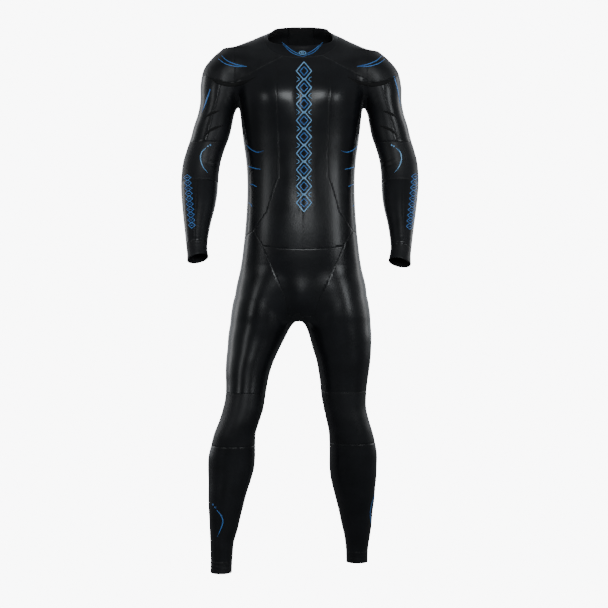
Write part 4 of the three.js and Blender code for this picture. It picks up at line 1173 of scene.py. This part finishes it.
def lozenge(x, z, half_x, half_z, lean=0.0):
    return polygon_points([(x + half_x, z), (x + lean, z + half_z), (x - half_x, z), (x - lean, z - half_z)])


def chest_motif():
    """A column of linked lozenges down the middle of the chest."""
    top, bottom, x, count = 682, 291, 8, 9
    pitch = (top - bottom) / count
    outer, inner = [], []
    for i in range(count):
        z = top - pitch * (i + 0.5)
        outer.append(stroke(lozenge(x, z, 20, pitch * 0.56), 3.0, closed=True))
        inner.append(stroke(lozenge(x, z, 10.5, pitch * 0.27), 2.4, closed=True))
    for i in range(count - 1):
        z = top - pitch * (i + 1)
        for side in (1, -1):
            tip = [(x + side * 20, z + 7), (x + side * 12.5, z), (x + side * 20, z - 7)]
            outer.append(stroke(arc_points(tip, 2.0), 2.2, taper=(0.4, 0.4)))
    add_print("chest_motif_outline", outer, PALE_BLUE, "suit")
    add_print("chest_motif_inner", inner, BLUE, "suit")


def mirrored(points, side, shift=0.0):
    return [(side * px + shift, pz) for px, pz in points]


# lines of print: points (x, z), on the wearer's left where the two sides share them
SHOULDER_ARCS = [
    [(222, 692), (205, 680), (180, 673), (147, 672)],
    [(214, 701), (200, 688), (176, 678), (147, 672)],
]
SHOULDER_RIDGE = [(252, 645), (222, 630), (186, 624), (150, 632), (124, 645)]
SLEEVE_DASH = {"left": [(246, 647), (252, 626), (257, 606), (263, 567)],
               "right": [(-240, 612), (-247, 592), (-254, 571), (-262, 551)]}
SLEEVE_RIDGES = [[(255, 536), (238, 548), (214, 556)], [(255, 490), (236, 506), (206, 517)]]
ELBOW_ARC = [(251, 458), (263, 446), (266, 428), (259, 407), (247, 392)]
ELBOW_DOTS = [(240, 465), (246, 461.5)]
RIB_ARCS = [
    ([(148, 465), (134, 452), (118, 446), (103, 450)], (1, 0.3)),
    ([(143, 409), (128, 404), (112, 401)], (1, 0.5)),
    ([(139, 362), (131, 360), (121, 355)], (1, 0.5)),
    ([(142, 313), (138, 309), (133, 302)], (1, 0.5)),
]


def strokes(lines, side, shift, *style, **more):
    """The same strokes on either side of the body."""
    return [stroke(arc_points(mirrored(line, side, shift)), *style, **more) for line in lines]


def side_prints():
    for name, side in SIDES:
        shift = 0 if side > 0 else 4
        arcs = strokes(SHOULDER_ARCS, side, shift, 2.6, taper=(0.5, 0.35))
        arcs.append(stroke(arc_points(SLEEVE_DASH[name]), 5.0, taper=(0.6, 0.15)))
        ribs = [stroke(arc_points(mirrored(line, side, 4)), 2.8, taper=taper) for line, taper in RIB_ARCS]
        add_print(f"shoulder_print_{name}", arcs, BLUE, "suit")
        add_print(f"rib_print_{name}", ribs, BLUE, "suit")
        # the raised lines are coloured near black: a darker rubber, with painted shade for the shadow along
        # the embossing
        shaded_ridges = strokes([SHOULDER_RIDGE], side, shift, 11, 0.8, taper=(0.1, 0.1))
        shaded_ridges += strokes(SLEEVE_RIDGES, side, 0, 7, 0.7, taper=(0.2, 0.1))
        add_print(f"raised_lines_painted_shade_{name}", shaded_ridges, SHADED_RIDGE_RUBBER, "suit", "matt_rubber")
        elbow = strokes([ELBOW_ARC], side, 0, 3.0, taper=(0.6, 0.2))
        elbow += [dot(side * px, pz) for px, pz in ELBOW_DOTS]
        add_print(f"elbow_print_{name}", elbow, PALE_BLUE, f"elbow_{name}")


def forearm_motif():
    """A narrow column of lozenges down the outside of each forearm."""
    for name, side in SIDES:
        top, bottom = ((303, 389), (288, 243)) if side > 0 else ((302, 386), (289, 246))
        count = 10
        pitch = (top[1] - bottom[1]) / count
        parts = []
        for i in range(count):
            t = (i + 0.5) / count
            x, z = mix(top[0], bottom[0], t), mix(top[1], bottom[1], t)
            parts.append(stroke(lozenge(side * x, z, 9.5, pitch * 0.57), 1.9, closed=True))
            parts.append(stroke([(side * (x - 3.2), z), (side * x, z), (side * (x + 3.2), z)], 1.7))
        add_print(f"forearm_motif_{name}", parts, BLUE, f"forearm_{name}")


def collar_print():
    lines = []
    for side in (1, -1):
        tip = [(4 + side * 54, 736), (4 + side * 30, 716), (4 + side * 8, 704)]
        lower = [(4 + side * 52, 731), (4 + side * 29, 709), (4, 698)]
        lines += [stroke(arc_points(line, 2.5), 1.8, taper=(0.3, 0.8)) for line in (tip, lower)]
    add_print("collar_lines", lines, BLUE, "suit")
    rings = [ring(4, 708, 9, 4.4, 2.0), ring(4, 708, 3.4, 1.5, 1.6, 12)]
    add_print("collar_ring", rings, PALE_BLUE, "suit")


def calf_print():
    curves = {"left": [(196, -465), (186, -503), (186, -535), (193, -560)],
              "right": [(-225, -507), (-213, -522), (-209, -541), (-224, -580)]}
    dots = {"left": [(199, -452)], "right": [(-235, -492), (-229, -500)]}
    for name, _ in SIDES:
        parts = [stroke(arc_points(curves[name]), 2.8, taper=(0.7, 0.2))]
        parts += [dot(px, pz) for px, pz in dots[name]]
        add_print(f"calf_print_{name}", parts, BLUE, f"lower_leg_{name}")


chest_motif()
side_prints()
forearm_motif()
collar_print()
calf_print()

# ---------- back zip and collar flap ----------
def add_flap(name, patch, material, outer, thickness, where, node_name):
    """A separate sheet over or under the panels; outer is its outer face's height above the body."""
    source, region = patch
    points, triangles = source.points, source.patch(region)
    piece = panel_object(name, points, triangles, [material, LINING], outer, thickness, 0.3)
    place(piece, where, SLOT_OF[material], node_name)


add_flap("zip_underflap_knit", under_patch, KNIT, -6.4, 2.0, "suit", "zip_underflap")
add_flap("collar_flap_webbing", tab_patch, WEBBING, 4.4, 1.9, "collar_flap", "collar_tab")

ZIP_LOW_ANGLE = -math.degrees(math.asin((ZIP_Z - ZIP_BOTTOM) / ZIP_R))


def on_arc(x, angle, depth):
    """Points on the zip's arc; depth is how far below the back's surface they lie."""
    a = np.radians(angle)
    r = ZIP_R - depth
    return np.stack([x + 0 * a, ZIP_Y + r * np.cos(a), ZIP_Z + r * np.sin(a)], -1)


def fine_teeth():
    """Moulded teeth, one every few millimetres, in place of the CAD model's coarse chain."""
    pitch, length, root, tip = 3.4, 2.1, 3.1, -0.5
    free_top, free_bottom = 7, 9.5  # room for the stops
    top = ZIP_TOP_ANGLE - math.degrees(free_top / ZIP_R)
    bottom = ZIP_LOW_ANGLE + math.degrees(free_bottom / ZIP_R)
    turn, half = math.degrees(pitch / ZIP_R), math.degrees(length / 2 / ZIP_R)
    # a tooth's outline: place across the zip, relative width, lower or upper side
    across = [(tip, 0.62), (tip + 0.9, 0.9), (root - 0.6, 0.8), (root, 0.66)]
    outline = [(x, wide, -1) for x, wide in across] + [(x, wide, 1) for x, wide in across[::-1]]
    x, wide, end = np.array(outline).T
    layers = ((0.95, 0.72), (1.5, 1.0), (2.7, 1.0), (3.3, 0.72))  # depth, relative width
    for name, side in SIDES:
        start = bottom + (0 if side > 0 else turn / 2)
        faces = strip_faces(len(layers), len(outline), False)[:, ::-side]
        parts = []
        for angle in np.arange(start, top, turn):
            rings = [on_arc(side * x, angle + end * half * grow * wide, depth) for depth, grow in layers]
            parts.append((np.concatenate(rings), faces))
        core = on_arc(side * (root - 0.3), np.linspace(bottom, top, 160), 2.6)
        outward = unit((core - (0, ZIP_Y, ZIP_Z)) * (0, 1, 1))
        parts.append(tube_mesh(core, 0.75, outward))
        piece = make_object(f"zip_teeth_fine_{name}", *merged(parts), [NYLON])
        place(piece, "suit", "nylon", f"zip_teeth_{name}")


def rounded_copy(node_name, piece_name, material, width, where):
    """A CAD piece with its edges rounded off."""
    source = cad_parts[node_name]
    mesh = source.data.copy()
    mesh.materials.clear()
    mesh.materials.append(material)
    piece = add_object(piece_name, mesh)
    bpy.ops.object.select_all(action="DESELECT")
    bpy.context.view_layer.objects.active = piece
    piece.select_set(True)
    bpy.ops.object.mode_set(mode="EDIT")
    bpy.ops.mesh.select_all(action="SELECT")
    bpy.ops.mesh.remove_doubles(threshold=0.00001)
    bpy.ops.mesh.dissolve_limited(angle_limit=math.radians(2))
    bpy.ops.object.mode_set(mode="OBJECT")
    piece.select_set(False)
    bevel = piece.modifiers.new("edges", "BEVEL")
    bevel.width, bevel.segments, bevel.limit_method = width, 3, "ANGLE"
    bevel.angle_limit = math.radians(28)
    bevel.harden_normals = True
    for polygon in mesh.polygons:
        polygon.use_smooth = True
    place(piece, where, SLOT_OF[material], node_name)


fine_teeth()
rounded_copy("zip_slider", "zip_slider_cast", METAL, 0.0003, "slider")
rounded_copy("zip_pull_tab", "zip_pull_moulded", NYLON, 0.00035, "pull")
for name in ("zip_top_stop_left", "zip_top_stop_right", "zip_bottom_stop"):
    rounded_copy(name, f"{name}_cast", METAL, 0.0003, "suit")
for name, _ in SIDES:
    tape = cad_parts[f"zip_tape_{name}"]
    tape.data.materials.clear()
    tape.data.materials.append(WEBBING)


def stitches(name, path, normals, material, where, pitch=4.2, length=2.9, radius=0.32):
    """A row of stitches along a path."""
    steps = np.concatenate([[0], np.cumsum(np.linalg.norm(np.diff(path, axis=0), axis=1))])
    parts = []
    for start in np.arange(pitch / 2, steps[-1] - length, pitch):
        at = start + length * np.linspace(0, 1, 5)
        p = np.stack([np.interp(at, steps, path[:, i]) for i in range(3)], 1)
        n = unit(np.stack([np.interp(at, steps, normals[:, i]) for i in range(3)], 1))
        rise = radius * np.array((-0.6, 0.5, 0.8, 0.5, -0.6))[:, None]
        parts.append(tube_mesh(p + n * rise, radius, n))
    add_print(name, parts, material, where, SLOT_OF[material])


def back_stitches():
    angles = np.linspace(ZIP_LOW_ANGLE + 0.6, ZIP_TOP_ANGLE - 2.6, 150)
    for name, side in SIDES:
        for row, out in enumerate((ZIP_SLOT + 3.2, ZIP_SLOT + 6.2)):
            path = on_arc(side * out, angles, 0)
            path = onto_body(path, 2)
            stitches(f"zip_stitches_{name}_{row + 1}", path, normals_at(path), NYLON, "suit")


back_stitches()

# ---------- floor, light and camera ----------
CLEARANCE = 0.035  # how far below the suit the floor lies, in metres


def add_floor():
    mesh = bpy.data.meshes.new("floor")
    half = 9.0
    z = CAD_BOX[0].z - CLEARANCE
    corners = [(-half, -half, z), (half, -half, z), (half, half, z), (-half, half, z)]
    mesh.from_pydata(corners, [], [(0, 1, 2, 3)])
    mesh.materials.append(floor_paint())
    add_object("floor", mesh)


# name, degrees to the wearer's left of the front, degrees up, size, power, colour
SOFTBOXES = [
    ("key", 3, 19, (1.0, 1.1), 32, (0.93, 0.97, 1.0)),
    ("side_left", 48, 9, (0.8, 1.0), 14, (0.93, 0.97, 1.0)),
    ("side_right", -50, 9, (0.8, 1.0), 7, (0.95, 0.98, 1.0)),
    ("rim_left", 120, 15, (0.8, 2.2), 12, (1, 1, 1)),
    ("rim_right", -120, 15, (0.8, 2.2), 12, (1, 1, 1)),
]
LIGHT_DISTANCE = 3.2


def add_softbox(name, turn, height, size, power, color):
    aim = Vector((0, 0, 0.1))
    a, e = math.radians(turn), math.radians(height)
    out = Vector((math.sin(a) * math.cos(e), -math.cos(a) * math.cos(e), math.sin(e)))
    light = bpy.data.lights.new(name, "AREA")
    light.shape, light.size, light.size_y = "RECTANGLE", size[0], size[1]
    light.energy, light.color = power, color
    made = add_object(name, light)
    made.location = aim + LIGHT_DISTANCE * out
    made.rotation_euler = (-out).to_track_quat("-Z", "Y").to_euler()


def add_world():
    """A pale studio: white to the camera, bright behind the suit and dim above and beside it."""
    world = bpy.data.worlds.new("studio")
    bpy.context.scene.world = world
    world.use_nodes = True
    tree = world.node_tree
    seen, around = tree.nodes["Background"], node(tree, "Background", Color=(0.9, 0.95, 1.0, 1))
    seen.inputs["Color"].default_value = (*STUDIO_WHITE, 1)
    seen.inputs["Strength"].default_value = STUDIO_GLOW
    parts = node(tree, "SeparateXYZ")
    link(tree, node(tree, "TexCoord").outputs["Generated"], parts.inputs["Vector"])
    beside = node(tree, "Math", operation="ABSOLUTE")
    link(tree, parts.outputs["X"], beside.inputs[0])
    total = ranged(tree, parts.outputs["Y"], 0.0, 1.0, (0.0, 0.95))
    for value, most, source in ((parts.outputs["Z"], 0.25, (0.2, 1.0)),
                                (beside.outputs["Value"], 0.15, (0.5, 1.0))):
        added = node(tree, "Math", operation="ADD")
        link(tree, total, added.inputs[0])
        link(tree, ranged(tree, value, 0.0, most, source), added.inputs[1])
        total = added.outputs["Value"]
    link(tree, total, around.inputs["Strength"])
    show_or_light(tree, seen, around, tree.nodes["World Output"])


def add_camera():
    data = bpy.data.cameras.new("camera")
    camera = add_object("camera", data)
    camera.location = EYE * MM
    aim = Vector((0.008, 0, 0.044))
    camera.rotation_euler = (aim - camera.location).to_track_quat("-Z", "Y").to_euler()
    data.sensor_width = 36
    data.angle = math.radians(19.9)
    bpy.context.scene.camera = camera


add_floor()
add_world()
for light in SOFTBOXES:
    add_softbox(*light)
add_camera()
